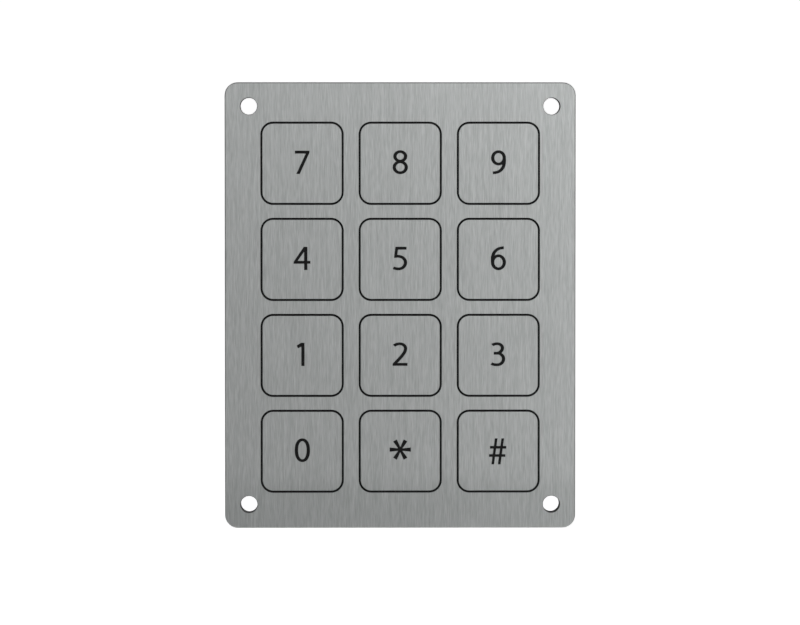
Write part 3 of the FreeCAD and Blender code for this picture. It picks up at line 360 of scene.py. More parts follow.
@dataclass(frozen=True)
class BrushedSteel(Finish):
    """Stainless steel brushed along Z, under a thin clear glaze, with painted shade on the screw hole walls.
    """

    light: Colour = (0.582, 0.602, 0.596)
    dark: Colour = (0.362, 0.375, 0.371)
    streak_width: float = 0.06 * MM
    streak_length: float = 2.7 * MM
    streak_detail: float = 1.5
    fine_shift: float = 3.0
    broad_shift: float = 11.0
    broad_widths: float = 9.0
    broad_lengths: float = 5.0
    broad_share: float = 0.25
    grain_span: Point = (0.28, 0.72)
    face_span: Point = (0.6, 0.9)
    edge_tone: float = 0.3
    roughness: float = 0.40
    gloss_change: float = 0.06
    anisotropy: float = 0.5
    relief: float = 0.02 * MM
    relief_share: float = 0.25
    glaze_roughness: float = 0.04
    glaze_ior: float = 1.7
    hole_across: float = 36.25 * MM
    hole_rise: float = 47.7 * MM
    hole_radius: float = 2.0 * MM
    hole_span: Point = (1.03, 1.07)
    # Painted shade: the screw hole walls and edge breaks are coloured near black, made dull and given little
    # specular, to stand for the shade inside the holes.
    painted_hole_shade_colour: Colour = (0.05, 0.05, 0.05)
    hole_shade_roughness: float = 0.9
    hole_shade_specular: float = 0.1

    def holes(self, graph: Graph) -> Value:
        """Where the painted shade goes: 1 inside the four screw holes and on their edge breaks, and 0
        elsewhere.
        """
        across = abs(graph.along(Axis.X)) - self.hole_across
        rise = abs(graph.along(Axis.Z)) - self.hole_rise
        reach = (across * across + rise * rise) ** 0.5
        low, high = self.hole_span
        return 1 - reach.ramp(low * self.hole_radius, high * self.hole_radius)

    def streaks(self, graph: Graph, width: float, length: float, shift: float) -> Value:
        """Noise drawn out along Z.

        Args:
            graph: where the nodes go.
            width: typical width of a streak.
            length: typical length of a streak.
            shift: moves the pattern, so that layers differ.

        Returns:
            The streaks, from 0 to 1.
        """
        scale = (1 / width, 1 / width, 1 / length)
        return graph.noise(graph.place(scale, (shift, shift, shift)), detail=self.streak_detail)

    def paint(self, graph: Graph) -> None:
        """Fine and broad streaks in tone, gloss and relief; cut edges are plainer; painted shade in the screw
        holes.
        """
        fine = self.streaks(graph, self.streak_width, self.streak_length, self.fine_shift)
        broad = self.streaks(graph, self.broad_widths * self.streak_width,
                             self.broad_lengths * self.streak_length, self.broad_shift)
        faces = graph.facing(Axis.Y).ramp(*self.face_span)
        grain = (fine * (1 - self.broad_share) + broad * self.broad_share).ramp(*self.grain_span)
        tone = graph.blend(grain * faces + (1 - faces) * self.edge_tone, self.dark, self.light)
        # Inside the screw holes a second, dark shader takes over: painted shade on the hole walls and edge
        # breaks.
        graph.surface({
            "Base Color": tone,
            "Metallic": 1.0,
            "Roughness": self.roughness + (0.5 - grain) * self.gloss_change,
            "Anisotropic": self.anisotropy,
            "Normal": graph.bump(grain, self.relief_share, self.relief),
            "Coat Weight": 1.0,
            "Coat Roughness": self.glaze_roughness,
            "Coat IOR": self.glaze_ior,
        }, self.holes(graph), {
            "Base Color": (*self.painted_hole_shade_colour, 1.0),
            "Roughness": self.hole_shade_roughness,
            "Specular IOR Level": self.hole_shade_specular,
        })


@dataclass(frozen=True)
class Enamel(Finish):
    """Baked enamel that fills an engraving, dark and slightly uneven."""

    colour: Colour = (0.0062, 0.0062, 0.0062)
    lighter: float = 1.35
    peel: float = 0.35 * MM
    roughness: float = 0.5
    gloss_change: float = 0.16
    specular: float = 0.05
    relief: float = 0.02 * MM
    relief_share: float = 0.15

    def paint(self, graph: Graph) -> None:
        """A faint orange peel and a slight change of gloss."""
        peel = graph.noise(graph.place(), 1 / self.peel, 3.0)
        tone = graph.blend(peel, self.colour, shade_of(self.colour, self.lighter))
        graph.surface({
            "Base Color": tone,
            "Roughness": self.roughness + (peel - 0.5) * self.gloss_change,
            "Specular IOR Level": self.specular,
            "Normal": graph.bump(peel, self.relief_share, self.relief),
        })


@dataclass(frozen=True)
class Rubber(Finish):
    """Moulded rubber or silicone, a little dusty in patches."""

    colour: Colour = (0.009, 0.009, 0.009)
    dusty: float = 1.7
    roughness: float = 0.7
    gloss_change: float = 0.2
    specular: float = 0.2
    grain: float = 0.25 * MM
    cloud: float = 6.0 * MM
    cloud_share: float = 0.6
    relief: float = 0.03 * MM
    relief_share: float = 0.3

    def paint(self, graph: Graph) -> None:
        """Fine moulded grain with cloudy patches."""
        fine = graph.noise(graph.place(), 1 / self.grain, 2.0)
        cloud = graph.noise(graph.place(), 1 / self.cloud, 3.0)
        dust = fine * (1 - self.cloud_share) + cloud * self.cloud_share
        graph.surface({
            "Base Color": graph.blend(dust, self.colour, shade_of(self.colour, self.dusty)),
            "Roughness": self.roughness + (cloud - 0.5) * self.gloss_change,
            "Specular IOR Level": self.specular,
            "Normal": graph.bump(fine, self.relief_share, self.relief),
        })


@dataclass(frozen=True)
class Foam(Finish):
    """Closed cell foam: round cells cut open at the surface."""

    colour: Colour = (0.012, 0.012, 0.012)
    lighter: float = 2.4
    cell: float = 0.4 * MM
    skin_span: Point = (0.15, 0.7)
    roughness: float = 0.9
    specular: float = 0.15
    relief: float = 0.15 * MM
    relief_share: float = 0.6

    def paint(self, graph: Graph) -> None:
        """Cells darken and dent the surface."""
        cells = graph.cells(graph.place(), 1 / self.cell)
        skin = cells.ramp(*self.skin_span)
        graph.surface({
            "Base Color": graph.blend(skin, self.colour, shade_of(self.colour, self.lighter)),
            "Roughness": self.roughness,
            "Specular IOR Level": self.specular,
            "Normal": graph.bump(skin, self.relief_share, self.relief),
        })


@dataclass(frozen=True)
class Moulding(Finish):
    """Moulded plastic with a spark eroded texture."""

    colour: Colour = (0.022, 0.022, 0.024)
    lighter: float = 1.45
    texture: float = 0.18 * MM
    pebble_span: Point = (0.1, 0.8)
    relief: float = 0.03 * MM
    relief_share: float = 0.5
    flow: float = 14 * MM
    flow_stretch: Colour = (1.0, 1.0, 0.35)
    roughness: float = 0.5
    flow_gloss: float = 0.18
    pebble_gloss: float = 0.06
    specular: float = 0.4

    def paint(self, graph: Graph) -> None:
        """Pebbled relief, with flow marks that change the gloss."""
        pebbles = graph.cells(graph.place(), 1 / self.texture).ramp(*self.pebble_span)
        flow = graph.noise(graph.place(self.flow_stretch), 1 / self.flow, 3.0)
        tone = graph.blend(pebbles * 0.5 + flow * 0.5, self.colour, shade_of(self.colour, self.lighter))
        gloss = (flow - 0.5) * self.flow_gloss
        graph.surface({
            "Base Color": tone,
            "Roughness": self.roughness + gloss + (pebbles - 0.5) * self.pebble_gloss,
            "Specular IOR Level": self.specular,
            "Normal": graph.bump(pebbles, self.relief_share, self.relief),
        })


@dataclass(frozen=True)
class TurnedMetal(Finish):
    """Machined or plated metal, with fine tool marks."""

    colour: Colour = (0.6, 0.6, 0.59)
    roughness: float = 0.28
    mark: float = 0.12 * MM
    mark_stretch: float = 0.06
    mark_gloss: float = 0.12
    axis: Axis = Axis.Y
    tarnish: float = 3.0 * MM
    tarnish_span: Point = (0.4, 0.75)
    tarnish_share: float = 0.5
    tarnish_gloss: float = 0.12
    darker: float = 0.62
    relief: float = 0.01 * MM
    relief_share: float = 0.25

    def paint(self, graph: Graph) -> None:
        """Tool marks across the axis and a little tarnish."""
        scale = [self.mark_stretch / self.mark] * 3
        scale[self.axis.value] = 1 / self.mark
        marks = graph.noise(graph.place(tuple(scale)))
        tarnish = graph.noise(graph.place(), 1 / self.tarnish, 4.0).ramp(*self.tarnish_span)
        tone = graph.blend(tarnish * self.tarnish_share, self.colour, shade_of(self.colour, self.darker))
        graph.surface({
            "Base Color": tone,
            "Metallic": 1.0,
            "Roughness": self.roughness + marks * self.mark_gloss + tarnish * self.tarnish_gloss,
            "Normal": graph.bump(marks, self.relief_share, self.relief),
        })


@dataclass(frozen=True)
class SolderMask(Finish):
    """Green solder mask over copper and glass cloth."""

    colour: Colour = (0.012, 0.115, 0.045)
    lighter: float = 1.5
    edge: Colour = (0.30, 0.27, 0.13)
    cloth: float = 0.8 * MM
    weave: float = 0.31
    weave_share: float = 0.6
    face_span: Point = (0.5, 0.9)
    edge_roughness: float = 0.62
    face_gloss: float = 0.34
    glaze: float = 0.5
    glaze_roughness: float = 0.12
    relief: float = 0.05 * MM
    relief_share: float = 0.08

    def waves(self, graph: Graph, direction: str) -> Value:
        """The cloth's threads along one direction."""
        sockets = {"Vector": graph.place((1 / self.cloth,) * 3), "Scale": self.weave}
        node = graph.node("ShaderNodeTexWave", {"bands_direction": direction}, sockets)
        return Value(graph, node.outputs[1])

    def paint(self, graph: Graph) -> None:
        """A faint weave on the faces, and a paler cut edge."""
        cloth = self.waves(graph, "X") * 0.5 + self.waves(graph, "Z") * 0.5
        faces = graph.facing(Axis.Y).ramp(*self.face_span)
        mask = graph.blend(cloth * self.weave_share, self.colour, shade_of(self.colour, self.lighter))
        graph.surface({
            "Base Color": graph.blend(faces, self.edge, mask),
            "Roughness": self.edge_roughness - faces * self.face_gloss,
            "Coat Weight": faces * self.glaze,
            "Coat Roughness": self.glaze_roughness,
            "Normal": graph.bump(cloth, self.relief_share, self.relief),
        })


class Look:
    """The finishes of this keypad."""

    STEEL = BrushedSteel("brushed_steel_face", Slot.STEEL)
    LEGEND = Enamel("legend_enamel", Slot.LEGEND)
    SEAL = Rubber("seal_silicone", Slot.SEAL, colour=(0.0045, 0.0045, 0.0045), specular=0.04)
    MAT = Rubber("mat_silicone", Slot.MAT, colour=(0.27, 0.28, 0.29), roughness=0.55, specular=0.45)
    CARBON = Rubber("carbon_pill", Slot.CARBON, colour=(0.018, 0.018, 0.018), roughness=0.85)
    GUIDE = Moulding("guide_acetal", Slot.GUIDE, colour=(0.018, 0.018, 0.019), roughness=0.42,
                     relief=0.01 * MM)
    BOARD = SolderMask("board_mask", Slot.BOARD)
    TRACK = SolderMask("track_mask", Slot.BOARD, colour=(0.022, 0.185, 0.075))
    GOLD = TurnedMetal("contact_gold", Slot.GOLD, colour=(0.86, 0.62, 0.26), roughness=0.22)
    BRASS = TurnedMetal("turned_brass", Slot.BRASS, colour=(0.74, 0.55, 0.27), roughness=0.25)
    SCREW = TurnedMetal("screw_steel", Slot.PLAIN_STEEL, colour=(0.62, 0.62, 0.61), roughness=0.22)
    LEAD = TurnedMetal("tinned_leads", Slot.LEAD, colour=(0.72, 0.72, 0.71), roughness=0.3)
    CAN = TurnedMetal("tinned_cans", Slot.CAN, colour=(0.74, 0.74, 0.75), roughness=0.3)
    RESIN = Moulding("chip_epoxy", Slot.RESIN, colour=(0.021, 0.021, 0.023), texture=0.09 * MM,
                     roughness=0.62)
    TERMINAL = Moulding("terminal_plastic", Slot.TERMINAL, colour=(0.02, 0.20, 0.075), relief=0.008 * MM)
    HOUSING = Moulding("cover_plastic", Slot.HOUSING)
    RUBBER = Rubber("inlet_rubber", Slot.RUBBER, colour=(0.013, 0.013, 0.013), roughness=0.6, specular=0.4)
    FOAM = Foam("gasket_foam", Slot.FOAM)


NODE_LOOKS = {
    "front_plate": Look.STEEL,
    "key_seals": Look.SEAL,
    "key_guide": Look.GUIDE,
    "key_mat": Look.MAT,
    "circuit_board": Look.BOARD,
    "contact_pads": Look.GOLD,
    "weld_studs": Look.SCREW,
    "stud_washers": Look.SCREW,
    "stud_nuts": Look.SCREW,
    "standoffs": Look.BRASS,
    "controller_chip": Look.RESIN,
    "chip_leads": Look.LEAD,
    "crystal": Look.CAN,
    "voltage_regulator": Look.RESIN,
    "capacitors": Look.CAN,
    "chip_resistors": Look.RESIN,
    "sounder": Look.RESIN,
    "terminal_block": Look.TERMINAL,
    "terminal_screws": Look.SCREW,
    "rear_cover": Look.HOUSING,
    "cover_screws": Look.SCREW,
    "cover_gasket": Look.RUBBER,
    "panel_gasket": Look.FOAM,
    "cable_grommet": Look.RUBBER,
}


def dress_node(name: str, finish: Finish) -> None:
    """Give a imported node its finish.

    Args:
        name: the node.
        finish: what it is made of.
    """
    slots = frame["nodes"][name].data.materials
    slots.clear()
    slots.append(finish.material())
    LOG.info("dressed %s in %s", name, finish.name)


# ---------------------------------------------------------------- piece helpers

def add_piece(name: str, mesh: bmesh.types.BMesh, finish: Finish) -> bpy.types.Object:
    """Turn a mesh into a piece that rides on the housing.

    Args:
        name: the piece's name.
        mesh: its mesh, which is freed.
        finish: what it is made of.

    Returns:
        The piece.
    """
    bmesh.ops.recalc_face_normals(mesh, faces=mesh.faces)
    for face in mesh.faces:
        face.smooth = True
    data = bpy.data.meshes.new(name)
    mesh.to_mesh(data)
    mesh.free()
    data.set_sharp_from_angle(angle=SHARP_ANGLE)
    data.materials.append(finish.material())
    made = bpy.data.objects.new(name, data)
    bpy.context.scene.collection.objects.link(made)
    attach(made, HOUSING)
    LOG.info("built %s, %d faces", name, len(data.polygons))
    return made


def node_mesh(node: str) -> bmesh.types.BMesh:
    """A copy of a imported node's mesh in place, with its seams welded."""
    mesh = bmesh.new()
    mesh.from_mesh(frame["nodes"][node].data)
    mesh.transform(frame["nodes"][node].matrix_world)
    bmesh.ops.remove_doubles(mesh, verts=mesh.verts, dist=WELD_DISTANCE)
    return mesh


def solids(node: str) -> list[tuple[Vector, Vector]]:
    """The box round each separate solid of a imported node."""
    mesh = node_mesh(node)
    boxes = []
    seen = set()
    for start in mesh.verts:
        if start in seen:
            continue
        seen.add(start)
        group = [start]
        for vert in group:
            near = {edge.other_vert(vert) for edge in vert.link_edges} - seen
            seen |= near
            group.extend(sorted(near, key=lambda found: found.index))
        spans = [[vert.co[axis.value] for vert in group] for axis in Axis]
        boxes.append((Vector([min(span) for span in spans]), Vector([max(span) for span in spans])))
    mesh.free()
    return boxes


def add_slab(mesh: bmesh.types.BMesh, outline: Sequence[Point], low: float, high: float,
             draft: float = 0.0) -> None:
    """Add a flat raised shape.

    Args:
        mesh: where it goes.
        outline: its corners in X and Z.
        low: Y of its foot.
        high: Y of its top.
        draft: how far the top is drawn in, as a share of the shape.
    """
    middle_x = sum(x for x, _ in outline) / len(outline)
    middle_z = sum(z for _, z in outline) / len(outline)
    foot = [mesh.verts.new((x, low, z)) for x, z in outline]
    top = []
    for x, z in outline:
        top.append(mesh.verts.new((x + (middle_x - x) * draft, high, z + (middle_z - z) * draft)))
    mesh.faces.new(top)
    for index in range(len(outline)):
        following = (index + 1) % len(outline)
        mesh.faces.new((foot[index], foot[following], top[following], top[index]))


def add_ring(mesh: bmesh.types.BMesh, middle: Point, profile: Sequence[Point], steps: int = 40) -> None:
    """Turn a profile about a line along Y.

    Args:
        mesh: where it goes.
        middle: X and Z of the line.
        profile: radius and Y of each corner, from the outside in.
        steps: corners round the ring.
    """
    loops = []
    for radius, y in profile:
        angles = [2 * math.pi * step / steps for step in range(steps)]
        spots = [(middle[0] + radius * math.cos(a), y, middle[1] + radius * math.sin(a)) for a in angles]
        loops.append([mesh.verts.new(spot) for spot in spots])
    for outer, inner in zip(loops, loops[1:]):
        for step in range(steps):
            following = (step + 1) % steps
            mesh.faces.new((outer[step], outer[following], inner[following], inner[step]))


def add_lip(mesh: bmesh.types.BMesh, middle: Point, radius: float, lip: float, low: float,
            high: float) -> None:
    """Add a low ring with sloping sides.

    Args:
        mesh: where it goes.
        middle: X and Z of its middle.
        radius: its outer radius.
        lip: its width.
        low: Y of its foot.
        high: Y of its top.
    """
    slope = 0.3
    profile = [(radius, low), (radius - slope * lip, high), (radius - (1 - slope) * lip, high),
               (radius - lip, low)]
    add_ring(mesh, middle, profile)


def add_strip(mesh: bmesh.types.BMesh, line: Sequence[Point], width: float, low: float, high: float,
              closed: bool = False) -> None:
    """Add a raised strip with mitred corners along a line.

    Args:
        mesh: where it goes.
        line: X and Z of the line's corners.
        width: the strip's width.
        low: Y of its foot.
        high: Y of its top.
        closed: whether the last corner joins the first.
    """
    top_share = 0.7
    least_mitre = 0.5
    count = len(line)
    sections = []
    for index in range(count):
        here = Vector(line[index])
        before = Vector(line[index - 1]) if closed or index else here
        after = Vector(line[(index + 1) % count]) if closed or index < count - 1 else here
        ways = [way.normalized() for way in (here - before, after - here) if way.length > 0]
        along = sum(ways, Vector((0.0, 0.0))).normalized()
        side = Vector((-along.y, along.x)) * width / 2 / max(least_mitre, along.dot(ways[0]))
        corners = ((side, low), (top_share * side, high), (-top_share * side, high), (-side, low))
        sections.append([mesh.verts.new((here.x + s.x, y, here.y + s.y)) for s, y in corners])
    pairs = list(zip(sections, sections[1:]))
    if closed:
        pairs.append((sections[-1], sections[0]))
    else:
        mesh.faces.new(sections[0])
        mesh.faces.new(sections[-1][::-1])
    for first, second in pairs:
        for corner in range(3):
            mesh.faces.new((first[corner], first[corner + 1], second[corner + 1], second[corner]))


# ---------------------------------------------------------------- sub-assemblies

@dataclass
class KeyMat:
    """The silicone mat, cut into a separate dome behind each key and the flat mat between them."""

    dome_reach: float = 6.42 * MM
    travel: float = 0.6 * MM

    def middle(self, key: str) -> Vector:
        """The middle of a key."""
        low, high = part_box(f"key_{key}")
        return (low + high) / 2

    def in_dome(self, face: bmesh.types.BMFace, middle: Vector) -> bool:
        """Whether a face belongs to the dome behind a key."""
        reaches = [math.hypot(vert.co.x - middle.x, vert.co.z - middle.z) for vert in face.verts]
        return max(reaches) < self.dome_reach

    def build_dome(self, key: str, whole: bmesh.types.BMesh) -> set[int]:
        """One dome, cut from the mat.

        Args:
            key: the key in front of it.
            whole: the mat's mesh.

        Returns:
            The numbers of the faces that it takes.
        """
        middle = self.middle(key)
        dome = whole.copy()
        taken = {face.index for face in whole.faces if self.in_dome(face, middle)}
        rest = [face for face in dome.faces if face.index not in taken]
        bmesh.ops.delete(dome, geom=rest, context="FACES")
        piece = add_piece(f"mat_dome_{key}", dome, Look.MAT)
        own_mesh(piece)
        return taken

    def build(self) -> None:
        """Twelve domes and the flat mat between them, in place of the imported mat."""
        whole = node_mesh("key_mat")
        whole.faces.ensure_lookup_table()
        whole.faces.index_update()
        taken = set()
        for key in KEYS:
            taken |= self.build_dome(key, whole)
        domes = [face for face in whole.faces if face.index in taken]
        bmesh.ops.delete(whole, geom=domes, context="FACES")
        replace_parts(add_piece("mat_base", whole, Look.MAT), "key_mat")


@dataclass
class RearCover:
    """The marks that moulding leaves on the rear cover."""

    rim_inset: float = 5.0 * MM
    rim_corner: float = 7.0 * MM
    rim_width: float = 0.9 * MM
    rim_height: float = 0.35 * MM
    pin_radius: float = 1.75 * MM
    pin_lip: float = 0.12 * MM
    pin_height: float = 0.05 * MM
    pin_across: float = 27 * MM
    pin_rows: Sequence[float] = (37 * MM, 0.0, -37 * MM)
    pin_middles: Sequence[float] = (8 * MM, -9 * MM)
    arrow_middle: Point = (0.0, 31.0 * MM)
    arrow_half: float = 2.6 * MM
    arrow_rise: float = 3.0 * MM
    arrow_shaft: float = 1.0 * MM
    arrow_height: float = 0.25 * MM
    arrow_draft: float = 0.04
    dial_middle: Point = (0.0, -22.0 * MM)
    dial_radius: float = 2.8 * MM
    dial_inner: float = 0.5
    dial_ticks: int = 12
    dial_tick_span: Point = (0.66, 0.84)
    dial_pointer: float = 0.36

    def back(self) -> float:
        """Y of the cover's back."""
        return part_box("rear_cover")[1].y

    def build_rim(self) -> None:
        """A low rib round the back that keeps it off the wall."""
        low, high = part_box("rear_cover")
        left, right = low.x + self.rim_inset, high.x - self.rim_inset
        foot, top = low.z + self.rim_inset, high.z - self.rim_inset
        cut = self.rim_corner
        line = [(left + cut, foot), (right - cut, foot), (right, foot + cut), (right, top - cut),
                (right - cut, top), (left + cut, top), (left, top - cut), (left, foot + cut)]
        mesh = bmesh.new()
        add_strip(mesh, line, self.rim_width, self.back(), self.back() + self.rim_height, closed=True)
        add_piece("cover_rim", mesh, Look.HOUSING)

    def build_ejector_marks(self) -> None:
        """Witness rings of the ejector pins."""
        mesh = bmesh.new()
        spots = [(side * self.pin_across, row) for row in self.pin_rows for side in (-1, 1)]
        spots += [(0.0, rise) for rise in self.pin_middles]
        for spot in spots:
            add_lip(mesh, spot, self.pin_radius, self.pin_lip, self.back(), self.back() + self.pin_height)
        add_piece("cover_ejector_marks", mesh, Look.HOUSING)

    def build_arrow(self) -> None:
        """A raised arrow that shows which way up the keypad goes."""
        half, rise, shaft = self.arrow_half, self.arrow_rise, self.arrow_shaft
        outline = [(0, rise), (half, 0), (shaft, 0), (shaft, -rise), (-shaft, -rise), (-shaft, 0), (-half, 0)]
        mesh = bmesh.new()
        spots = [(x + self.arrow_middle[0], z + self.arrow_middle[1]) for x, z in outline]
        add_slab(mesh, spots, self.back(), self.back() + self.arrow_height, self.arrow_draft)
        add_piece("cover_arrow", mesh, Look.HOUSING)

    def build_dial(self) -> None:
        """A blank moulding dial: a ring, its ticks and a pointer."""
        mesh = bmesh.new()
        base, high = self.back(), self.back() + self.pin_height * 2
        x, z = self.dial_middle
        lip = self.pin_lip * 2
        for radius in (self.dial_radius, self.dial_radius * self.dial_inner):
            add_lip(mesh, self.dial_middle, radius, lip, base, high)
        for tick in range(self.dial_ticks):
            angle = 2 * math.pi * tick / self.dial_ticks
            way = Vector((math.sin(angle), math.cos(angle)))
            ends = [Vector((x, z)) + way * self.dial_radius * share for share in self.dial_tick_span]
            add_strip(mesh, [tuple(end) for end in ends], lip, base, high)
        tip = self.dial_radius * self.dial_pointer
        add_slab(mesh, [(x, z + tip), (x + tip / 3, z - tip / 2), (x - tip / 3, z - tip / 2)], base, high)
        add_piece("cover_mould_dial", mesh, Look.HOUSING)

    def build(self) -> None:
        """Everything moulded on the cover's back."""
        self.build_rim()
        self.build_ejector_marks()
        self.build_arrow()
        self.build_dial()


@dataclass
class BoardCopper:
    """Tracks, vias and solder on the rear of the circuit board."""

    track_width: float = 0.3 * MM
    track_height: float = 0.035 * MM
    shortest: float = 0.7 * MM
    step: float = 0.55 * MM
    steps: int = 3
    via_radius: float = 0.4 * MM
    via_hole: float = 0.15 * MM
    via_corners: int = 20
    via_rise: float = 1.6
    via_slopes: Point = (0.9, 1.3)
    terminal_rise: float = 1.6 * MM
    crystal_reach: float = 4.2 * MM
    fillet_reach: float = 0.28 * MM
    fillet_height: float = 0.16 * MM
    fillet_share: float = 0.6
    cap_length: float = 0.38 * MM
    cap_skin: float = 0.015 * MM
    cap_draft: float = 0.03
    mark_reach: float = 0.4
    mark_angle: int = 52
    mark_step: int = 4

    def face(self) -> float:
        """Y of the board's rear face."""
        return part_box("circuit_board")[1].y

    def toes(self) -> list[tuple[Vector, Vector]]:
        """The outer end of each chip lead and the way that it points, in X and Z."""
        low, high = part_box("controller_chip")
        middle = (low + high) / 2
        found = []
        for foot, head in solids("chip_leads"):
            centre = (foot + head) / 2
            off = centre - middle
            if abs(off.x) > abs(off.z):
                way = Vector((math.copysign(1.0, off.x), 0.0))
                spot = Vector((head.x if off.x > 0 else foot.x, centre.z))
            else:
                way = Vector((0.0, math.copysign(1.0, off.z)))
                spot = Vector((centre.x, head.z if off.z > 0 else foot.z))
            found.append((spot, way))
        return sorted(found, key=lambda toe: (tuple(toe[1]), toe[0].x, toe[0].y))

    def build_tracks(self) -> list[Point]:
        """A stepped fan of tracks from the chip, and tracks from the terminals and the crystal.

        Returns:
            Where each track ends in a via.
        """
        mesh = bmesh.new()
        vias = []
        high = self.face() + self.track_height
        for index, (spot, way) in enumerate(self.toes()):
            reach = self.shortest + self.step * (index % self.steps)
            end = spot + way * reach
            vias.append(tuple(end))
            add_strip(mesh, [tuple(spot), tuple(end)], self.track_width, self.face(), high)
        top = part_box("terminal_block")[1].z
        screws = sorted(solids("terminal_screws"), key=lambda box: box[0].x)
        for index, (low, upper) in enumerate(screws):
            x = (low.x + upper.x) / 2
            rise = self.terminal_rise + self.step * 2 * (index % self.steps)
            lean = self.step * (1 if x > 0 else -1)
            line = [(x, top), (x, top + rise), (x - lean, top + rise + self.step)]
            vias.append(line[-1])
            add_strip(mesh, line, 2 * self.track_width, self.face(), high)
        chip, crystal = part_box("controller_chip"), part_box("crystal")
        for sign in (-1, 1):
            z = (crystal[0].z + crystal[1].z) / 2 + sign * self.step
            line = [(crystal[1].x, z), (chip[0].x - self.crystal_reach, z)]
            vias.append(line[-1])
            add_strip(mesh, line, self.track_width, self.face(), high)
        add_piece("board_tracks", mesh, Look.TRACK)
        return vias

    def build_vias(self, vias: Sequence[Point]) -> None:
        """A tinned ring at the end of each track."""
        mesh = bmesh.new()
        base = self.face()
        high = base + self.via_rise * self.track_height
        outer, inner = self.via_slopes
        profile = [(self.via_radius, base), (outer * self.via_radius, high), (inner * self.via_hole, high),
                   (self.via_hole, base)]
        for spot in vias:
            add_ring(mesh, spot, profile, self.via_corners)
        add_piece("board_vias", mesh, Look.LEAD)

    def build_fillets(self) -> None:
        """Solder that wets each lead's toe."""
        mesh = bmesh.new()
        base = self.face()
        for spot, way in self.toes():
            side = Vector((-way.y, way.x)) * self.track_width * self.fillet_share
            near = [spot - way * self.fillet_reach + side, spot - way * self.fillet_reach - side]
            far = [spot + way * self.fillet_reach - side, spot + way * self.fillet_reach + side]
            ends = [spot + side * self.fillet_share, spot - side * self.fillet_share]
            foot = [mesh.verts.new((p.x, base, p.y)) for p in near + far]
            crest = [mesh.verts.new((p.x, base + self.fillet_height, p.y)) for p in ends]
            mesh.faces.new((foot[0], foot[1], crest[1], crest[0]))
            mesh.faces.new((foot[2], foot[3], crest[0], crest[1]))
            mesh.faces.new((foot[1], foot[2], crest[1]))
            mesh.faces.new((foot[3], foot[0], crest[0]))
        add_piece("lead_fillets", mesh, Look.LEAD)

    def build_caps(self) -> None:
        """Plated ends over the chip resistors."""
        mesh = bmesh.new()
        skin = self.cap_skin
        for low, high in solids("chip_resistors"):
            foot, top = low.z - skin, high.z + skin
            left = (low.x + self.cap_length, low.x - skin)
            right = (high.x - self.cap_length, high.x + skin)
            for inner, outer in (left, right):
                outline = [(inner, foot), (outer, foot), (outer, top), (inner, top)]
                add_slab(mesh, outline, self.face(), high.y + skin, self.cap_draft)
        add_piece("resistor_caps", mesh, Look.LEAD)

    def build_capacitor_marks(self) -> None:
        """A dark printed segment on each can, on its negative side."""
        mesh = bmesh.new()
        angles = range(-self.mark_angle, self.mark_angle + 1, self.mark_step)
        arc = [math.radians(angle) for angle in angles]
        for low, high in solids("capacitors"):
            radius = self.mark_reach * (high.x - low.x)
            x, z = (low.x + high.x) / 2, (low.z + high.z) / 2
            outline = [(x + radius * math.cos(a), z + radius * math.sin(a)) for a in arc]
            add_slab(mesh, outline, high.y, high.y + 0.5 * self.track_height)
        add_piece("capacitor_marks", mesh, Look.RESIN)

    def build(self) -> None:
        """The board's copper and solder."""
        self.build_vias(self.build_tracks())
        self.build_fillets()
        self.build_caps()
        self.build_capacitor_marks()


# ---------------------------------------------------------------- studio

@dataclass
class Softbox:
    """A rectangular lamp that faces a point."""

    name: str
    place: Colour
    target: Colour
    width: float
    height: float
    power: float

    def build(self) -> None:
        """Add the lamp, unseen by the camera itself."""
        data = bpy.data.lights.new(self.name, "AREA")
        data.shape = "RECTANGLE"
        data.size = self.width
        data.size_y = self.height
        data.energy = self.power
        lamp = bpy.data.objects.new(self.name, data)
        bpy.context.scene.collection.objects.link(lamp)
        lamp.location = self.place
        way = Vector(self.target) - Vector(self.place)
        lamp.rotation_mode = "QUATERNION"
        lamp.rotation_quaternion = way.to_track_quat("-Z", "Y")
        lamp.visible_camera = False


# Three small softboxes to the right and above, one behind, and a large card far in front.
LAMPS = (
    Softbox("key_softbox", (0.19, -0.24, 0.20), (0.0, PLATE_FRONT, 0.0), 0.12, 0.12, 0.47),
    Softbox("side_softbox", (0.24, -0.30, 0.0), (0.0, PLATE_FRONT, 0.0), 0.12, 0.30, 0.40),
    Softbox("top_softbox", (-0.06, -0.28, 0.25), (0.0, PLATE_FRONT, 0.0), 0.30, 0.12, 0.69),
    Softbox("rear_softbox", (-0.35, 0.60, 0.45), (0.0, COVER_BACK, 0.0), 0.40, 0.40, 5.0),
    Softbox("front_card", (0.0, -2.0, 0.71), (0.0, 0.0, 0.71), 2.4, 1.8, 7.4),
)


def stage_object(name: str, mesh: bmesh.types.BMesh, paint: bpy.types.Material) -> bpy.types.Object:
    """Turn a mesh into a stage object.

    Args:
        name: the object's name.
        mesh: its mesh, which is freed.
        paint: its material.

    Returns:
        The object.
    """
    data = bpy.data.meshes.new(name)
    mesh.to_mesh(data)
    mesh.free()
    data.materials.append(paint)
    made = bpy.data.objects.new(name, data)
    bpy.context.scene.collection.objects.link(made)
    return made


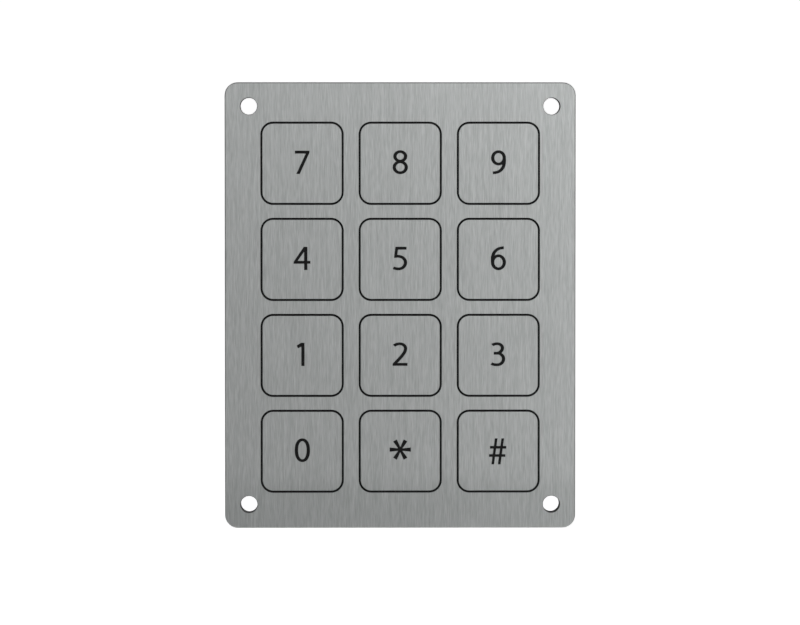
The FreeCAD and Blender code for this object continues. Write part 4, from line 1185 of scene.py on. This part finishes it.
@dataclass
class Studio:
    """Pale floor and back-lit sweep, soft lamps and the camera."""

    floor_drop: float = 0.25
    front_reach: float = 3.2
    wall_reach: float = 2.2
    wall_rise: float = 2.4
    half_width: float = 4.0
    sweep: float = 0.8
    sweep_steps: int = 16
    paint: Colour = (0.88, 0.88, 0.88)
    paint_roughness: float = 0.9
    glow: float = 0.79
    glow_start: float = 0.6
    sky: float = 0.02
    camera_distance: float = 1.0517
    camera_side: float = math.radians(-0.846)
    camera_rise: float = math.radians(2.029)
    aim_drop: float = 1.677 * MM
    aim_side: float = -0.061 * MM
    lens: float = 197.55
    sensor: float = 36.0
    clip: Point = (0.01, 50.0)

    def build_floor(self) -> None:
        """A floor that sweeps up into a wall lit from behind."""
        start = self.wall_reach - self.sweep
        outline = [(-self.front_reach, -self.floor_drop)]
        for step in range(self.sweep_steps + 1):
            angle = math.pi / 2 * step / self.sweep_steps
            rise = self.sweep * (1 - math.cos(angle))
            outline.append((start + self.sweep * math.sin(angle), rise - self.floor_drop))
        outline.append((self.wall_reach, self.wall_rise))
        mesh = bmesh.new()
        rows = []
        for y, z in outline:
            rows.append([mesh.verts.new((x, y, z)) for x in (-self.half_width, self.half_width)])
        for low, high in zip(rows, rows[1:]):
            mesh.faces.new((low[0], low[1], high[1], high[0])).smooth = True
        paint = bpy.data.materials.new("studio_paint")
        paint.use_nodes = True
        graph = Graph(paint.node_tree)
        lit = graph.along(Axis.Y).ramp(self.glow_start * start, start)
        graph.surface({
            "Base Color": (*self.paint, 1.0),
            "Roughness": self.paint_roughness,
            "Emission Color": graph.blend(lit, (0.0, 0.0, 0.0), (1.0, 1.0, 1.0)),
            "Emission Strength": self.glow,
        })
        stage_object("studio_sweep", mesh, paint)

    def build_sky(self) -> None:
        """Even light from all round."""
        world = bpy.data.worlds.new("studio_sky")
        world.use_nodes = True
        bpy.context.scene.world = world
        graph = Graph(world.node_tree)
        light = graph.node("ShaderNodeBackground", None, {0: (1.0, 1.0, 1.0, 1.0), 1: self.sky})
        graph.node("ShaderNodeOutputWorld", None, {0: light.outputs[0]})

    def build_camera(self) -> None:
        """The camera, a little above and to the left of the plate's normal."""
        data = bpy.data.cameras.new("camera")
        data.lens = self.lens
        data.sensor_width = self.sensor
        data.clip_start, data.clip_end = self.clip
        camera = bpy.data.objects.new("camera", data)
        bpy.context.scene.collection.objects.link(camera)
        low = math.cos(self.camera_rise)
        back = Vector((math.sin(self.camera_side) * low, -math.cos(self.camera_side) * low,
                       math.sin(self.camera_rise)))
        plate_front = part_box("front_plate")[0].y
        aim = Vector((self.aim_side, plate_front, -self.aim_drop))
        camera.location = aim + back * self.camera_distance
        camera.rotation_mode = "QUATERNION"
        camera.rotation_quaternion = (-back).to_track_quat("-Z", "Y")
        bpy.context.scene.camera = camera

    def build(self) -> None:
        """Everything round the object."""
        bpy.context.scene.view_settings.view_transform = "Standard"
        self.build_floor()
        self.build_sky()
        for lamp in LAMPS:
            lamp.build()
        self.build_camera()


def main() -> None:
    """Build the looks and the studio in order."""
    logging.basicConfig(level=logging.INFO, format="%(name)s: %(message)s")
    for name, finish in NODE_LOOKS.items():
        dress_node(name, finish)
    for key in KEYS:
        dress_node(f"key_{key}", Look.STEEL)
        dress_node(f"legend_{key}", Look.LEGEND)
        dress_node(f"contact_pill_{key}", Look.CARBON)
    KeyMat().build()
    RearCover().build()
    BoardCopper().build()
    Studio().build()


if __name__ == "__main__":
    main()
